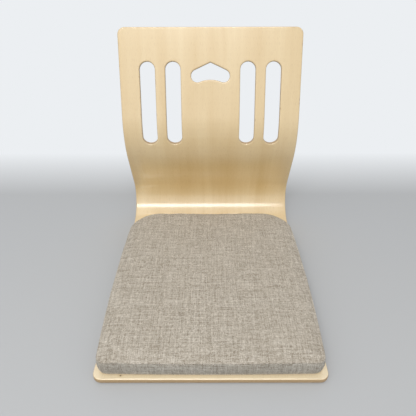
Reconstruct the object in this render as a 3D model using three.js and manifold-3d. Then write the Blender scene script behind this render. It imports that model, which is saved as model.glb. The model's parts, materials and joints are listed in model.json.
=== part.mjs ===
// Legless floor chair: a one-piece shell of moulded plywood and a boxed cushion that lifts off it.
// Millimetres, +Z up, the sitter faces -Y. The origin lies on the floor under the middle of the chair.

import * as THREE from "three";
import { mergeVertices } from "three/addons/utils/BufferGeometryUtils.js";
import Module from "manifold-3d";

const wasm = await Module();
wasm.setup();

const degree = Math.PI / 180;

// Shell, along its front face from the front edge of the seat to the top edge of the back
const shellWidth = 390;
const seatLength = 438;
const bendRadius = 60;
const bendAngle = 112.5 * degree;
const lumbarLength = 91;
const lumbarRadius = 152;
const lumbarAngle = 41.5 * degree;
const backLength = 181;
const frontCornerRadius = 15;
const topCornerRadius = 15;
const edgeRadius = 2.5;

// Veneers of the shell
const faceVeneerThickness = 0.8;
const corePlyThickness = 1.6;
const corePlyCount = 5;
const glueLineGap = 0.08;

// Four slots with round ends, two on each side of the hand hole, with a strip of wood between
const slotWidth = 33;
const slotLength = 178;
const slotTopMargin = 68;
const slotInnerGap = 22.3;
const slotPitch = 55;

// Hand hole: a point at the top, a round lobe on each side and a low arch between the lobes
const handHoleHeight = 40.6;
const handHoleTopMargin = 70;
const lobeRadius = 13.3;
const lobeOffset = 28.4;
const archHeight = 5.4;
const pointRadius = 1.2;

// Felt glides under the seat
const glideRadius = 13;
const glideThickness = 2;
const glideSideInset = 45;
const glideFrontInset = 42;
const glideRearGap = 26;
const contactGap = 0.05;

// Hook patches on the seat and loop patches under the cushion
const patchLength = 60;
const patchWidth = 25;
const patchCornerRadius = 4;
const patchSideInset = 58;
const patchFrontInset = 53.5;
const patchRearInset = 55.5;
const hookThickness = 1.3;
const loopThickness = 1.1;
const restGap = 0.3;

// Cushion: plan, boxing band, crown and filling
const cushionSideInset = 9;
const cushionFrontInset = 8.5;
const cushionRearGap = 17;
const cushionFrontRadius = 14;
const cushionRearRadius = 60;
const sideBulgeDepth = 6;
const baseInset = 1;
const boxingHeight = 31.7;
const boxingBarrelDepth = 2;
const crownHeight = 7;
const cornerDropHeight = 2.5;
const clothThickness = 0.9;
const seamGap = 0.1;
const waddingThickness = 7;

// Zip in the rear boxing: opening between the strips, tapes, coil rows and end stops
const zipEndInset = 8;
const zipOpeningHeight = 12;
const tapeWidth = 10;
const tapeThickness = 0.5;
const coilHeight = 2.4;
const coilThickness = 1.7;
const coilSpacing = 1.1;
const stopLength = 3;

// Zip slider: two plates joined by a thin post, rails beside the coil rows, and a bridge for the pull
const sliderLength = 12;
const sliderWidth = 9.4;
const sliderPlateThickness = 1.1;
const sliderGap = 0.3;
const sliderPostWidth = 0.5;
const sliderPostLength = 3;
const sliderEndGap = 0.5;
const railWidth = 0.8;
const bridgeWidth = 2.4;
const bridgeThickness = 0.9;
const bridgeInset = 1.5;

// Zip pull: a flat tab whose bar turns under the bridge
const pullLength = 26;
const pullWidth = 6.4;
const pullThickness = 1.3;
const pullBarWidth = 1;
const pullHoleRadius = 1.1;
const pullClearance = 0.3;

// Facets of the round stretches
const bendFacets = 10;
const lumbarFacets = 5;
const cornerFacets = 4;
const slotEndFacets = 6;
const lobeFacets = 6;
const archFacets = 4;
const pointFacets = 1;
const snapStep = 0.001;
const planCornerFacets = 4;
const planSideFacets = 5;
const boxingFacets = 4;
const discFacets = 24;
const crownShares = [0.45, 0.75, 0.88, 0.95, 1];
const crownPower = 5;
const cornerPower = 8;
const sliderOutlineShares = [
  [-0.5, -0.44],
  [0.1, -0.45],
  [0.32, -0.5],
  [0.5, -0.4],
  [0.5, 0.4],
  [0.32, 0.5],
  [0.1, 0.45],
  [-0.5, 0.44],
];

const birch = new THREE.MeshStandardMaterial({ color: 0xe8d0a5, roughness: 0.42, metalness: 0 });
const birchCore = new THREE.MeshStandardMaterial({ color: 0xd9bd8c, roughness: 0.6, metalness: 0 });
const linen = new THREE.MeshStandardMaterial({ color: 0xb2a898, roughness: 0.95, metalness: 0 });
const foam = new THREE.MeshStandardMaterial({ color: 0xf1e9cf, roughness: 0.9, metalness: 0 });
const wadding = new THREE.MeshStandardMaterial({ color: 0xf4f4f1, roughness: 0.95, metalness: 0 });
const tapeCloth = new THREE.MeshStandardMaterial({ color: 0x9d9484, roughness: 0.85, metalness: 0 });
const nylon = new THREE.MeshStandardMaterial({ color: 0x8f8778, roughness: 0.45, metalness: 0 });
const zinc = new THREE.MeshStandardMaterial({ color: 0xa9a7a2, roughness: 0.35, metalness: 0.9 });
const fleece = new THREE.MeshStandardMaterial({ color: 0xd9d4c8, roughness: 0.9, metalness: 0 });
const felt = new THREE.MeshStandardMaterial({ color: 0x8c8275, roughness: 1, metalness: 0 });

// Side profile of the shell: a chain of straight and round stretches, each turning the heading by its angle
const stretches = [
  { length: seatLength, turn: 0, facets: 1 },
  { length: bendRadius * bendAngle, turn: bendAngle, facets: bendFacets },
  { length: lumbarLength, turn: 0, facets: 1 },
  { length: lumbarRadius * lumbarAngle, turn: -lumbarAngle, facets: lumbarFacets },
  { length: backLength, turn: 0, facets: 1 },
];
let travelled = 0;
let heading = 0;
let corner = new THREE.Vector2(0, 0);
for (const stretch of stretches) {
  stretch.start = travelled;
  stretch.heading = heading;
  stretch.corner = corner.clone();
  const end = along(stretch, stretch.length);
  corner = end.point;
  heading = end.heading;
  travelled += stretch.length;
}
const shellLength = travelled;
const coreThickness = corePlyCount * corePlyThickness + (corePlyCount + 1) * glueLineGap;
const shellThickness = 2 * faceVeneerThickness + coreThickness;

// Point (y, z) and heading at a distance into one stretch
function along(stretch, distance) {
  const turned = (stretch.turn * distance) / stretch.length;
  const from = stretch.heading;
  const point = stretch.corner.clone();
  if (stretch.turn === 0) {
    point.x += distance * Math.cos(from);
    point.y += distance * Math.sin(from);
  } else {
    const radius = stretch.length / stretch.turn;
    point.x += radius * (Math.sin(from + turned) - Math.sin(from));
    point.y += radius * (Math.cos(from) - Math.cos(from + turned));
  }
  return { point, heading: from + turned };
}

// Place of a point of the flat blank once the blank is bent: across, along the front face, depth behind it
function bend(across, distance, depth) {
  const within = stretches.findLast((stretch) => distance >= stretch.start) ?? stretches[0];
  const { point, heading: at } = along(within, distance - within.start);
  return new THREE.Vector3(across, point.x + depth * Math.sin(at), point.y - depth * Math.cos(at));
}

// Distances along the front face at which the bent sheet has a facet line
const bendLines = stretches.flatMap((stretch) =>
  Array.from({ length: stretch.facets }, (_, k) => stretch.start + (stretch.length * k) / stretch.facets),
);

// Arc as a list of points, both ends included
function arc(x, y, radius, from, to, facets) {
  return Array.from({ length: facets + 1 }, (_, k) => {
    const angle = from + ((to - from) * k) / facets;
    return new THREE.Vector2(x + radius * Math.cos(angle), y + radius * Math.sin(angle));
  });
}

// Outline of the flat blank, drawn in by an inset
function blankOutline(inset) {
  const side = shellWidth / 2 - inset;
  const front = frontCornerRadius - inset;
  const top = topCornerRadius - inset;
  const last = shellLength - inset;
  return [
    ...arc(side - front, inset + front, front, -90 * degree, 0, cornerFacets),
    ...arc(side - top, last - top, top, 0, 90 * degree, cornerFacets),
    ...arc(top - side, last - top, top, 90 * degree, 180 * degree, cornerFacets),
    ...arc(front - side, inset + front, front, 180 * degree, 270 * degree, cornerFacets),
  ];
}

// Outline of one slot, widened by an inset of the wood around it
function slotOutline(centre, inset) {
  const radius = slotWidth / 2 + inset;
  const upper = shellLength - slotTopMargin - slotWidth / 2;
  const lower = upper - (slotLength - slotWidth);
  return [
    ...arc(centre, upper, radius, 0, 180 * degree, slotEndFacets),
    ...arc(centre, lower, radius, 180 * degree, 360 * degree, slotEndFacets),
  ];
}

// Outline of the hand hole: every stretch is an arc or a line tangent to its neighbours
function handHoleOutline(inset) {
  const base = shellLength - handHoleTopMargin - handHoleHeight;
  const lobe = new THREE.Vector2(lobeOffset, base + lobeRadius);
  const point = new THREE.Vector2(0, base + handHoleHeight - pointRadius);
  const reach = lobe.distanceTo(point);
  const slope = Math.atan2(lobe.y - point.y, lobe.x - point.x);
  const upright = slope + Math.acos((pointRadius - lobeRadius) / reach);
  const rise = lobeRadius - archHeight;
  const archRadius = (lobeOffset ** 2 + rise ** 2 - lobeRadius ** 2) / (2 * (lobeRadius - rise));
  const archCentre = new THREE.Vector2(0, base + archHeight - archRadius);
  const downward = Math.atan2(archCentre.y - lobe.y, archCentre.x - lobe.x);
  const archEnd = downward + 180 * degree;
  const right = [
    ...arc(archCentre.x, archCentre.y, archRadius - inset, 90 * degree, archEnd, archFacets / 2),
    ...arc(lobe.x, lobe.y, lobeRadius + inset, downward, upright, lobeFacets).slice(1),
    ...arc(point.x, point.y, pointRadius + inset, upright, 90 * degree, pointFacets),
  ];
  const left = right
    .slice(1, -1)
    .reverse()
    .map((corner) => new THREE.Vector2(-corner.x, corner.y));
  return [...right, ...left];
}

// Closed sheet bent from a flat blank with holes. The blank is cut into bands at every corner and bend line,
// and each band into the cells between its edges. Places on the blank are whole numbers of snap steps.
function bentSheet(loops, nearDepth, farDepth) {
  const steps = (value) => Math.round(value / snapStep);
  const edges = loops.flatMap((loop) =>
    loop.map((from, k) => {
      const ends = [from, loop[(k + 1) % loop.length]].sort((a, b) => a.y - b.y);
      return { low: ends[0], high: ends[1], bottom: steps(ends[0].y), top: steps(ends[1].y) };
    }),
  );
  const corners = edges.flatMap((edge) => [edge.bottom, edge.top]);
  const first = Math.min(...corners);
  const last = Math.max(...corners);
  const lines = bendLines.map(steps).filter((line) => line > first && line < last);
  const levels = [...new Set([...corners, ...lines])].sort((a, b) => a - b);
  const crossing = (edge, level) => {
    const share = (level - edge.bottom) / (edge.top - edge.bottom);
    return steps(edge.low.x + (edge.high.x - edge.low.x) * share);
  };

  const marks = levels.map(() => new Set());
  const bands = levels.slice(1).map((level, k) => {
    const middle = (levels[k] + level) / 2;
    const cuts = edges
      .filter((edge) => edge.bottom < middle && edge.top > middle)
      .sort((a, b) => crossing(a, middle) - crossing(b, middle))
      .map((edge) => ({ low: crossing(edge, levels[k]), high: crossing(edge, level) }));
    cuts.forEach((cut) => {
      marks[k].add(cut.low);
      marks[k + 1].add(cut.high);
    });
    return cuts;
  });
  const rows = marks.map((row) => [...row].sort((a, b) => a - b));

  const keys = new Map();
  const near = [];
  const far = [];
  const vertex = (mark, k) => {
    const key = `${mark} ${k}`;
    if (!keys.has(key)) {
      keys.set(key, near.length);
      near.push(bend(mark * snapStep, levels[k] * snapStep, nearDepth));
      far.push(bend(mark * snapStep, levels[k] * snapStep, farDepth));
    }
    return keys.get(key);
  };
  const faces = [];
  bands.forEach((cuts, k) => {
    for (let n = 0; n < cuts.length; n += 2) {
      const left = cuts[n];
      const right = cuts[n + 1];
      const lower = rows[k].filter((mark) => mark >= left.low && mark <= right.low);
      const upper = rows[k + 1].filter((mark) => mark >= left.high && mark <= right.high);
      const lowerVertices = lower.map((mark) => vertex(mark, k));
      const upperVertices = upper.map((mark) => vertex(mark, k + 1));
      faces.push(...zipped(lowerVertices, upperVertices, (i, j) => lower[i + 1] <= upper[j + 1]));
    }
  });
  return closedSheet(faces, near, far);
}

// Triangles between a lower and an upper row of vertices, stepping along whichever row is behind
function zipped(lower, upper, lowerIsBehind) {
  const faces = [];
  let i = 0;
  let j = 0;
  while (i < lower.length - 1 || j < upper.length - 1) {
    const lowerLeft = i < lower.length - 1;
    const upperLeft = j < upper.length - 1;
    if (lowerLeft && (!upperLeft || lowerIsBehind(i, j))) {
      faces.push([lower[i], lower[i + 1], upper[j]]);
      i += 1;
    } else {
      faces.push([lower[i], upper[j + 1], upper[j]]);
      j += 1;
    }
  }
  return faces;
}

// Closed solid between two copies of one triangulated face, walled where the face has no neighbour
function closedSheet(faces, near, far) {
  const count = near.length;
  const index = [];
  const sides = new Map();
  for (const [a, b, c] of faces) {
    index.push(a, b, c, count + a, count + c, count + b);
    [[a, b], [b, c], [c, a]].forEach(([from, to]) => sides.set(`${from} ${to}`, [from, to]));
  }
  for (const [from, to] of sides.values()) {
    if (!sides.has(`${to} ${from}`)) {
      index.push(from, count + from, count + to, from, count + to, to);
    }
  }
  const geometry = new THREE.BufferGeometry().setFromPoints([...near, ...far]);
  geometry.setIndex(index);
  return geometry;
}

// Named mesh, added to a group
function piece(group, name, geometry, material) {
  const mesh = new THREE.Mesh(geometry, material);
  mesh.name = name;
  group.add(mesh);
  return mesh;
}

// Solid with a flat outline, its mid-plane at zero
function plate(outline, thickness, holes = []) {
  const shape = new THREE.Shape(outline);
  shape.holes = holes.map((hole) => new THREE.Path(hole));
  const geometry = new THREE.ExtrudeGeometry(shape, { depth: thickness, bevelEnabled: false });
  return geometry.translate(0, 0, -thickness / 2);
}

// Outline of a rectangle with round corners
function roundedRectangle(length, width, radius) {
  const x = length / 2 - radius;
  const y = width / 2 - radius;
  return [
    ...arc(x, y, radius, 0, 90 * degree, cornerFacets),
    ...arc(-x, y, radius, 90 * degree, 180 * degree, cornerFacets),
    ...arc(-x, -y, radius, 180 * degree, 270 * degree, cornerFacets),
    ...arc(x, -y, radius, 270 * degree, 360 * degree, cornerFacets),
  ];
}

// The chair's group has its origin at the front edge of the seat's upper face
const chair = new THREE.Group();

// Veneers: the round edge of the shell draws the outer ones in
function edgeInset(depth) {
  const buried = Math.min(depth, shellThickness - depth, edgeRadius);
  return edgeRadius - Math.sqrt(edgeRadius ** 2 - (edgeRadius - buried) ** 2);
}

const veneers = [
  { name: "front_face_veneer", thickness: faceVeneerThickness, material: birch },
  ...Array.from({ length: corePlyCount }, (_, k) => ({
    name: `core_ply_${k + 1}`,
    thickness: corePlyThickness,
    material: birchCore,
  })),
  { name: "back_face_veneer", thickness: faceVeneerThickness, material: birch },
];
const innerSlot = lobeOffset + lobeRadius + slotInnerGap + slotWidth / 2;
const outerSlot = innerSlot + slotPitch;
const slotCentres = [-outerSlot, -innerSlot, innerSlot, outerSlot];
let depth = 0;
for (const veneer of veneers) {
  const inset = edgeInset(depth + veneer.thickness / 2);
  const loops = [
    blankOutline(inset),
    ...slotCentres.map((centre) => slotOutline(centre, inset)),
    handHoleOutline(inset),
  ];
  piece(chair, veneer.name, bentSheet(loops, depth, depth + veneer.thickness), veneer.material);
  depth += veneer.thickness + glueLineGap;
}

// Felt glides under the seat
const leftRight = [
  { side: "left", sign: -1 },
  { side: "right", sign: 1 },
];
const glidePlaces = [
  { end: "front", distance: glideFrontInset },
  { end: "rear", distance: seatLength - glideRearGap },
];
for (const { end, distance } of glidePlaces) {
  for (const { side, sign } of leftRight) {
    const disc = new THREE.CylinderGeometry(glideRadius, glideRadius, glideThickness, discFacets);
    const glide = piece(chair, `felt_glide_${end}_${side}`, disc.rotateX(90 * degree), felt);
    const down = shellThickness + contactGap + glideThickness / 2;
    glide.position.set(sign * (shellWidth / 2 - glideSideInset), distance, -down);
  }
}

// The cushion's group has its origin in the middle of the underside of the base panel
const cushionWidth = shellWidth - 2 * cushionSideInset;
const cushionDepth = seatLength - cushionFrontInset - cushionRearGap;
const patchStack = contactGap + hookThickness + restGap + loopThickness + contactGap;
const cushion = new THREE.Group();
cushion.position.set(0, cushionFrontInset + cushionDepth / 2, patchStack);
chair.add(cushion);

// Hook patches on the seat, loop patches above them on the cushion
const patchOffset = cushionWidth / 2 - patchSideInset;
const patchPlaces = [
  { end: "front", distance: patchFrontInset - cushionDepth / 2 },
  { end: "rear", distance: cushionDepth / 2 - patchRearInset },
];
const patch = roundedRectangle(patchLength, patchWidth, patchCornerRadius);
for (const { end, distance } of patchPlaces) {
  for (const { side, sign } of leftRight) {
    const hook = piece(chair, `hook_patch_${end}_${side}`, plate(patch, hookThickness), nylon);
    hook.position.set(sign * patchOffset, cushion.position.y + distance, contactGap + hookThickness / 2);
    const loop = piece(cushion, `loop_patch_${end}_${side}`, plate(patch, loopThickness), fleece);
    loop.position.set(sign * patchOffset, distance, -contactGap - loopThickness / 2);
  }
}

// Plan of the cushion drawn in by an inset: round corners and bulging sides, counter-clockwise from the left
// end of the straight rear side. The rear side may have an inset of its own.
function cushionPlan(inset, rearInset = inset) {
  const halfWidth = cushionWidth / 2;
  const halfDepth = cushionDepth / 2;
  const corners = [
    { side: -1, end: 1, radius: cushionRearRadius, from: 90 * degree },
    { side: -1, end: -1, radius: cushionFrontRadius, from: 180 * degree },
    { side: 1, end: -1, radius: cushionFrontRadius, from: 270 * degree },
    { side: 1, end: 1, radius: cushionRearRadius, from: 0 },
  ];
  const turns = corners.map(({ side, end, radius, from }) =>
    arc(0, 0, 1, from, from + 90 * degree, planCornerFacets).map((spoke) => {
      const along = radius - (end > 0 ? rearInset : inset);
      const x = side * (halfWidth - radius) + spoke.x * (radius - inset);
      const y = end * (halfDepth - radius) + spoke.y * along;
      return new THREE.Vector2(x, y);
    }),
  );
  const plan = turns.flatMap((turn, k) => {
    const next = turns[(k + 1) % turns.length][0];
    const side = Array.from({ length: planSideFacets - 1 }, (_, n) =>
      turn.at(-1).clone().lerp(next, (n + 1) / planSideFacets),
    );
    return [...turn, ...side];
  });
  return plan.map((place) => {
    const bulge = (sideBulgeDepth / halfWidth) * (1 - (place.y / halfDepth) ** 2);
    return new THREE.Vector2(place.x * (1 + bulge), place.y);
  });
}
const rearFacets = planSideFacets - 1;

// Height of the cushion's upper face: it rises from the seam to the crown and drops a little at the corners
function upperFace(place, share) {
  const acrossShare = (2 * place.x) / cushionWidth;
  const alongShare = (2 * place.y) / cushionDepth;
  const crown = crownHeight * (1 - share ** crownPower);
  return boxingHeight + crown - cornerDropHeight * (acrossShare * alongShare) ** cornerPower;
}

// Solid over a plan, between an upper and a lower face given as heights
function planSolid(plan, shares, upper, lower) {
  const places = [{ place: new THREE.Vector2(0, 0), share: 0 }];
  for (const share of shares) {
    places.push(...plan.map((place) => ({ place: place.clone().multiplyScalar(share), share })));
  }
  const raised = (height) => {
    return places.map(({ place, share }) => new THREE.Vector3(place.x, place.y, height(place, share)));
  };
  const faces = [];
  plan.forEach((_, k) => {
    const next = (k + 1) % plan.length;
    faces.push([0, 1 + k, 1 + next]);
    for (let ring = 1; ring < shares.length; ring += 1) {
      const inner = 1 + (ring - 1) * plan.length;
      const outer = inner + plan.length;
      faces.push([inner + k, outer + k, outer + next], [inner + k, outer + next, inner + next]);
    }
  });
  return closedSheet(faces, raised(upper), raised(lower));
}

// Cover: top panel, base panel and the boxing round the front and sides
const wholeCloth = clothThickness + seamGap;
const panelUnderside = (place, share) => upperFace(place, share) - clothThickness;
const topPanel = planSolid(cushionPlan(0), crownShares, upperFace, panelUnderside);
piece(cushion, "cushion_top_panel", topPanel, linen);
const basePanel = planSolid(cushionPlan(baseInset, 0), [1], () => clothThickness, () => 0);
piece(cushion, "cushion_base_panel", basePanel, linen);

function boxingBand() {
  const near = [];
  const far = [];
  const faces = [];
  const edge = cushionPlan(0);
  const across = edge.length - rearFacets;
  for (let level = 0; level <= boxingFacets; level += 1) {
    const share = level / boxingFacets;
    const inset = baseInset * (1 - share) - boxingBarrelDepth * 4 * share * (1 - share);
    const outer = cushionPlan(inset, 0);
    const inner = cushionPlan(inset + clothThickness, clothThickness);
    for (let k = 0; k < across; k += 1) {
      const top = panelUnderside(edge[k], 1) - seamGap;
      const height = wholeCloth + (top - wholeCloth) * share;
      near.push(new THREE.Vector3(outer[k].x, outer[k].y, height));
      far.push(new THREE.Vector3(inner[k].x, inner[k].y, height));
      if (level > 0 && k > 0) {
        const here = level * across + k;
        faces.push([here - across - 1, here - across, here], [here - across - 1, here, here - 1]);
      }
    }
  }
  return closedSheet(faces, near, far);
}
piece(cushion, "cushion_boxing", boxingBand(), linen);

// Filling: wadding under the top panel, foam under the wadding. It clears the drawn-in foot of the boxing and
// the inner plate of the zip's slider.
const plateMiddle = coilThickness / 2 + sliderGap + sliderPlateThickness / 2;
const plateTop = plateMiddle + sliderPlateThickness / 2;
const tapeInset = wholeCloth + tapeThickness / 2;
const fillingInset = baseInset + clothThickness + restGap;
const fillingRearInset = tapeInset + plateTop + restGap;
const waddingTop = (place, share) => upperFace(place, share) - wholeCloth;
const waddingUnderside = (place, share) => waddingTop(place, share) - waddingThickness;
const foamTop = (place, share) => waddingUnderside(place, share) - seamGap;
const filling = cushionPlan(fillingInset, fillingRearInset);
piece(cushion, "wadding_layer", planSolid(filling, crownShares, waddingTop, waddingUnderside), wadding);
piece(cushion, "foam_core", planSolid(filling, crownShares, foamTop, () => wholeCloth), foam);

// Rear boxing: two strips of cloth between the ends of the band, with the zip in the opening
const rear = cushionDepth / 2;
const bandEnd = cushionWidth / 2 - cushionRearRadius;
const zipLength = 2 * (bandEnd - zipEndInset);
const bandTop = panelUnderside(new THREE.Vector2(bandEnd, rear), 1) - seamGap;
const zipHeight = (wholeCloth + bandTop) / 2;
const strips = [
  { name: "zip_strip_lower", from: wholeCloth, to: zipHeight - zipOpeningHeight / 2 },
  { name: "zip_strip_upper", from: zipHeight + zipOpeningHeight / 2, to: bandTop },
];
for (const { name, from, to } of strips) {
  const strip = new THREE.BoxGeometry(2 * (bandEnd - seamGap), clothThickness, to - from);
  piece(cushion, name, strip, linen).position.set(0, rear - clothThickness / 2, (from + to) / 2);
}

// Zip: tapes behind the strips, coil rows on their inner edges, a stop across each end
const tapeDepth = rear - tapeInset;
const coilMiddle = coilSpacing / 2 + coilHeight / 2;
const tapeMiddle = coilSpacing / 2 + coilHeight + contactGap + tapeWidth / 2;
const lowerUpper = [
  { row: "lower", sign: -1 },
  { row: "upper", sign: 1 },
];
for (const { row, sign } of lowerUpper) {
  const tapeBox = new THREE.BoxGeometry(zipLength + 2 * stopLength, tapeThickness, tapeWidth);
  const tape = piece(cushion, `zip_tape_${row}`, tapeBox, tapeCloth);
  tape.position.set(0, tapeDepth, zipHeight + sign * tapeMiddle);
  const coilBox = new THREE.BoxGeometry(zipLength, coilThickness, coilHeight);
  const coil = piece(cushion, `zip_coil_${row}`, coilBox, nylon);
  coil.position.set(0, tapeDepth, zipHeight + sign * coilMiddle);
}
for (const { side, sign } of leftRight) {
  const stop = new THREE.BoxGeometry(stopLength, coilThickness, coilSpacing + 2 * coilHeight);
  const place = sign * (zipLength / 2 + contactGap + stopLength / 2);
  piece(cushion, `zip_stop_${side}`, stop, zinc).position.set(place, tapeDepth, zipHeight);
}

// Closed mesh as a solid that can be joined, and back
function solid(geometry) {
  const bare = geometry.clone();
  bare.deleteAttribute("normal");
  bare.deleteAttribute("uv");
  const merged = mergeVertices(bare, snapStep);
  const mesh = new wasm.Mesh({
    numProp: 3,
    vertProperties: new Float32Array(merged.attributes.position.array),
    triVerts: new Uint32Array(merged.index.array),
  });
  return new wasm.Manifold(mesh);
}

function joined(geometries) {
  const whole = geometries.map(solid).reduce((sum, next) => sum.add(next));
  const { vertProperties, triVerts } = whole.getMesh();
  const geometry = new THREE.BufferGeometry();
  geometry.setAttribute("position", new THREE.BufferAttribute(vertProperties, 3));
  geometry.setIndex(new THREE.BufferAttribute(triVerts, 1));
  return geometry;
}

// Slider, closed at the right end of the zip. Its group has its origin between the coil rows.
const slider = new THREE.Group();
const sliderTravel = zipLength - sliderLength - 2 * sliderEndGap;
slider.position.set(sliderTravel / 2, tapeDepth, zipHeight);
cushion.add(slider);

const railHeight = coilThickness / 2 - tapeThickness / 2 + sliderPlateThickness / 2;
const railMiddle = coilSpacing / 2 + coilHeight + sliderGap + railWidth / 2;
const bridgeSpan = sliderLength - 2 * bridgeInset;
const bridgeRoom = pullThickness + 2 * pullClearance;
const sliderOutline = sliderOutlineShares.map(
  ([along, across]) => new THREE.Vector2(along * sliderLength, across * sliderWidth),
);
const sliderParts = [-1, 1].flatMap((sign) => {
  const wing = plate(sliderOutline, sliderPlateThickness).rotateX(90 * degree);
  const rails = [-1, 1].map((hand) => {
    const rail = new THREE.BoxGeometry(bridgeSpan, railHeight, railWidth);
    return rail.translate(0, sign * (plateMiddle - railHeight / 2), hand * railMiddle);
  });
  return [wing.translate(0, sign * plateMiddle, 0), ...rails];
});
const post = new THREE.BoxGeometry(sliderPostLength, 2 * plateMiddle, sliderPostWidth);
sliderParts.push(post.translate(sliderLength / 2 - sliderPostLength, 0, 0));
const bridgeHeight = bridgeRoom + bridgeThickness;
const bridgeOutline = [
  new THREE.Vector2(-bridgeSpan / 2, -sliderPlateThickness / 2),
  new THREE.Vector2(bridgeThickness - bridgeSpan / 2, -sliderPlateThickness / 2),
  new THREE.Vector2(bridgeThickness - bridgeSpan / 2, bridgeRoom),
  new THREE.Vector2(bridgeSpan / 2 - bridgeThickness, bridgeRoom),
  new THREE.Vector2(bridgeSpan / 2 - bridgeThickness, -sliderPlateThickness / 2),
  new THREE.Vector2(bridgeSpan / 2, -sliderPlateThickness / 2),
  new THREE.Vector2(bridgeSpan / 2, bridgeHeight - bridgeThickness / 2),
  new THREE.Vector2(bridgeSpan / 2 - bridgeThickness, bridgeHeight),
  new THREE.Vector2(bridgeThickness - bridgeSpan / 2, bridgeHeight),
  new THREE.Vector2(-bridgeSpan / 2, bridgeHeight - bridgeThickness / 2),
];
sliderParts.push(plate(bridgeOutline, bridgeWidth).translate(0, plateTop, 0));
piece(slider, "zip_slider", joined(sliderParts), zinc);

// Pull tab, lying flat towards the left end. Its group has its origin on the axis of its bar.
const pull = new THREE.Group();
pull.position.set(0, plateTop + bridgeRoom / 2, 0);
slider.add(pull);
const windowReach = Math.hypot(bridgeSpan / 2, bridgeRoom / 2 + bridgeThickness) + pullClearance;
const windowWidth = bridgeWidth + 2 * pullClearance;
const pullRadius = pullWidth / 2;
const pullEnd = pullLength - pullBarWidth / 2 - pullRadius;
const pullOutline = [
  new THREE.Vector2(pullBarWidth / 2, -pullRadius),
  new THREE.Vector2(pullBarWidth / 2, pullRadius),
  ...arc(-pullEnd, 0, pullRadius, 90 * degree, 270 * degree, slotEndFacets),
];
const pullWindow = [
  new THREE.Vector2(-windowReach, -windowWidth / 2),
  new THREE.Vector2(-pullBarWidth / 2, -windowWidth / 2),
  new THREE.Vector2(-pullBarWidth / 2, windowWidth / 2),
  new THREE.Vector2(-windowReach, windowWidth / 2),
];
const pullEye = arc(-pullEnd, 0, pullHoleRadius, 0, 360 * degree, slotEndFacets).slice(1);
const tab = plate(pullOutline, pullThickness, [pullWindow, pullEye]).rotateX(90 * degree);
piece(pull, "zip_pull", tab, zinc);

// The part's origin lies on the floor under the middle of the whole chair
const whole = new THREE.Box3().setFromObject(chair);
chair.position.set(0, -(whole.min.y + whole.max.y) / 2, -whole.min.z);

export default chair;
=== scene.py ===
"""Legless floor chair: a one-piece shell of bent birch plywood and a boxed linen cushion that lifts off it.

Metres, +Z up, the sitter faces -Y. The origin lies on the floor under the middle of the chair.
"""

import json
import math

import bmesh
import bpy
import numpy as np
from mathutils import Matrix, Vector

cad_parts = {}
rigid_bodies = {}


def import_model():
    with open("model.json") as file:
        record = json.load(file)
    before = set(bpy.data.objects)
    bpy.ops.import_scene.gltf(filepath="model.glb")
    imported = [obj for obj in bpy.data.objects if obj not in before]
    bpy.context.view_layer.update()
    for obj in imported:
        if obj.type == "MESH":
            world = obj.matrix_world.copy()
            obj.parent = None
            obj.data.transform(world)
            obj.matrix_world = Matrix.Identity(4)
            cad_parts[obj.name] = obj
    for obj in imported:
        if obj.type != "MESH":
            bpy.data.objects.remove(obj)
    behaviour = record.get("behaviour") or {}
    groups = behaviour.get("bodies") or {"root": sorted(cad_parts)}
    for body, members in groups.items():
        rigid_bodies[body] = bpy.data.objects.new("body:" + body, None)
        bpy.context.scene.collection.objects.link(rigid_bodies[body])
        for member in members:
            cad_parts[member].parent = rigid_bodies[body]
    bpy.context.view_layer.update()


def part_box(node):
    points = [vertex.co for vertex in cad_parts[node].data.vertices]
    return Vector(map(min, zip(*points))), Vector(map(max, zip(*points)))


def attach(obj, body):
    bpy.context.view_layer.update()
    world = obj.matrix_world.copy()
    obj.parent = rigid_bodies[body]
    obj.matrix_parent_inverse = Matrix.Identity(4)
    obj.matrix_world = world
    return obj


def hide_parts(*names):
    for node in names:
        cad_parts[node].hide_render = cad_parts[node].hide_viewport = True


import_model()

# Camera: above and in front of the seat, looking down at the cushion.
# It is turned and rolled by a fraction of a degree, and its lens and shift are worked out for a picture 416
# pixels square.
picture_pixels = 416
focal_pixels = 394.8
right_shift_pixels = 2.6
sensor_mm = 36
camera_place = (0.0016, -0.6400, 0.6008)
camera_pitch = math.radians(33.77)
camera_yaw = math.radians(0.135)
camera_roll = math.radians(-0.163)

camera_data = bpy.data.cameras.new("camera")
camera_data.sensor_width = sensor_mm
camera_data.lens = sensor_mm * focal_pixels / picture_pixels
camera_data.shift_x = -right_shift_pixels / picture_pixels
camera = bpy.data.objects.new("camera", camera_data)
aim = Matrix.Rotation(camera_yaw, 4, "Z") @ Matrix.Rotation(math.radians(90) - camera_pitch, 4, "X")
camera.matrix_world = Matrix.Translation(camera_place) @ aim @ Matrix.Rotation(camera_roll, 4, "Z")
bpy.context.scene.collection.objects.link(camera)
bpy.context.scene.camera = camera

# Plywood shell: five core plies between two face veneers, glued up and pressed in one mould.
# One sheet forms the seat, the tight bend behind it, the lumbar curve and the leaning back.
shell_width = 0.390
seat_length = 0.438
bend_radius = 0.060
bend_angle = math.radians(112.5)
lumbar_length = 0.091
lumbar_radius = 0.152
lumbar_angle = math.radians(41.5)
back_length = 0.181
front_corner_radius = 0.015
top_corner_radius = 0.015
edge_radius = 0.0025
edge_copies = 7
face_veneer_thickness = 0.0008
core_ply_thickness = 0.0016
core_ply_count = 5
glue_line_gap = 0.00008
slot_width = 0.033
slot_length = 0.178
slot_top_margin = 0.068
slot_inner_gap = 0.0223
slot_pitch = 0.055
hand_hole_height = 0.0406
hand_hole_top_margin = 0.070
lobe_radius = 0.0133
lobe_offset = 0.0284
arch_height = 0.0054
point_radius = 0.0012
patch_glue_gap = 0.00005

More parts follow.
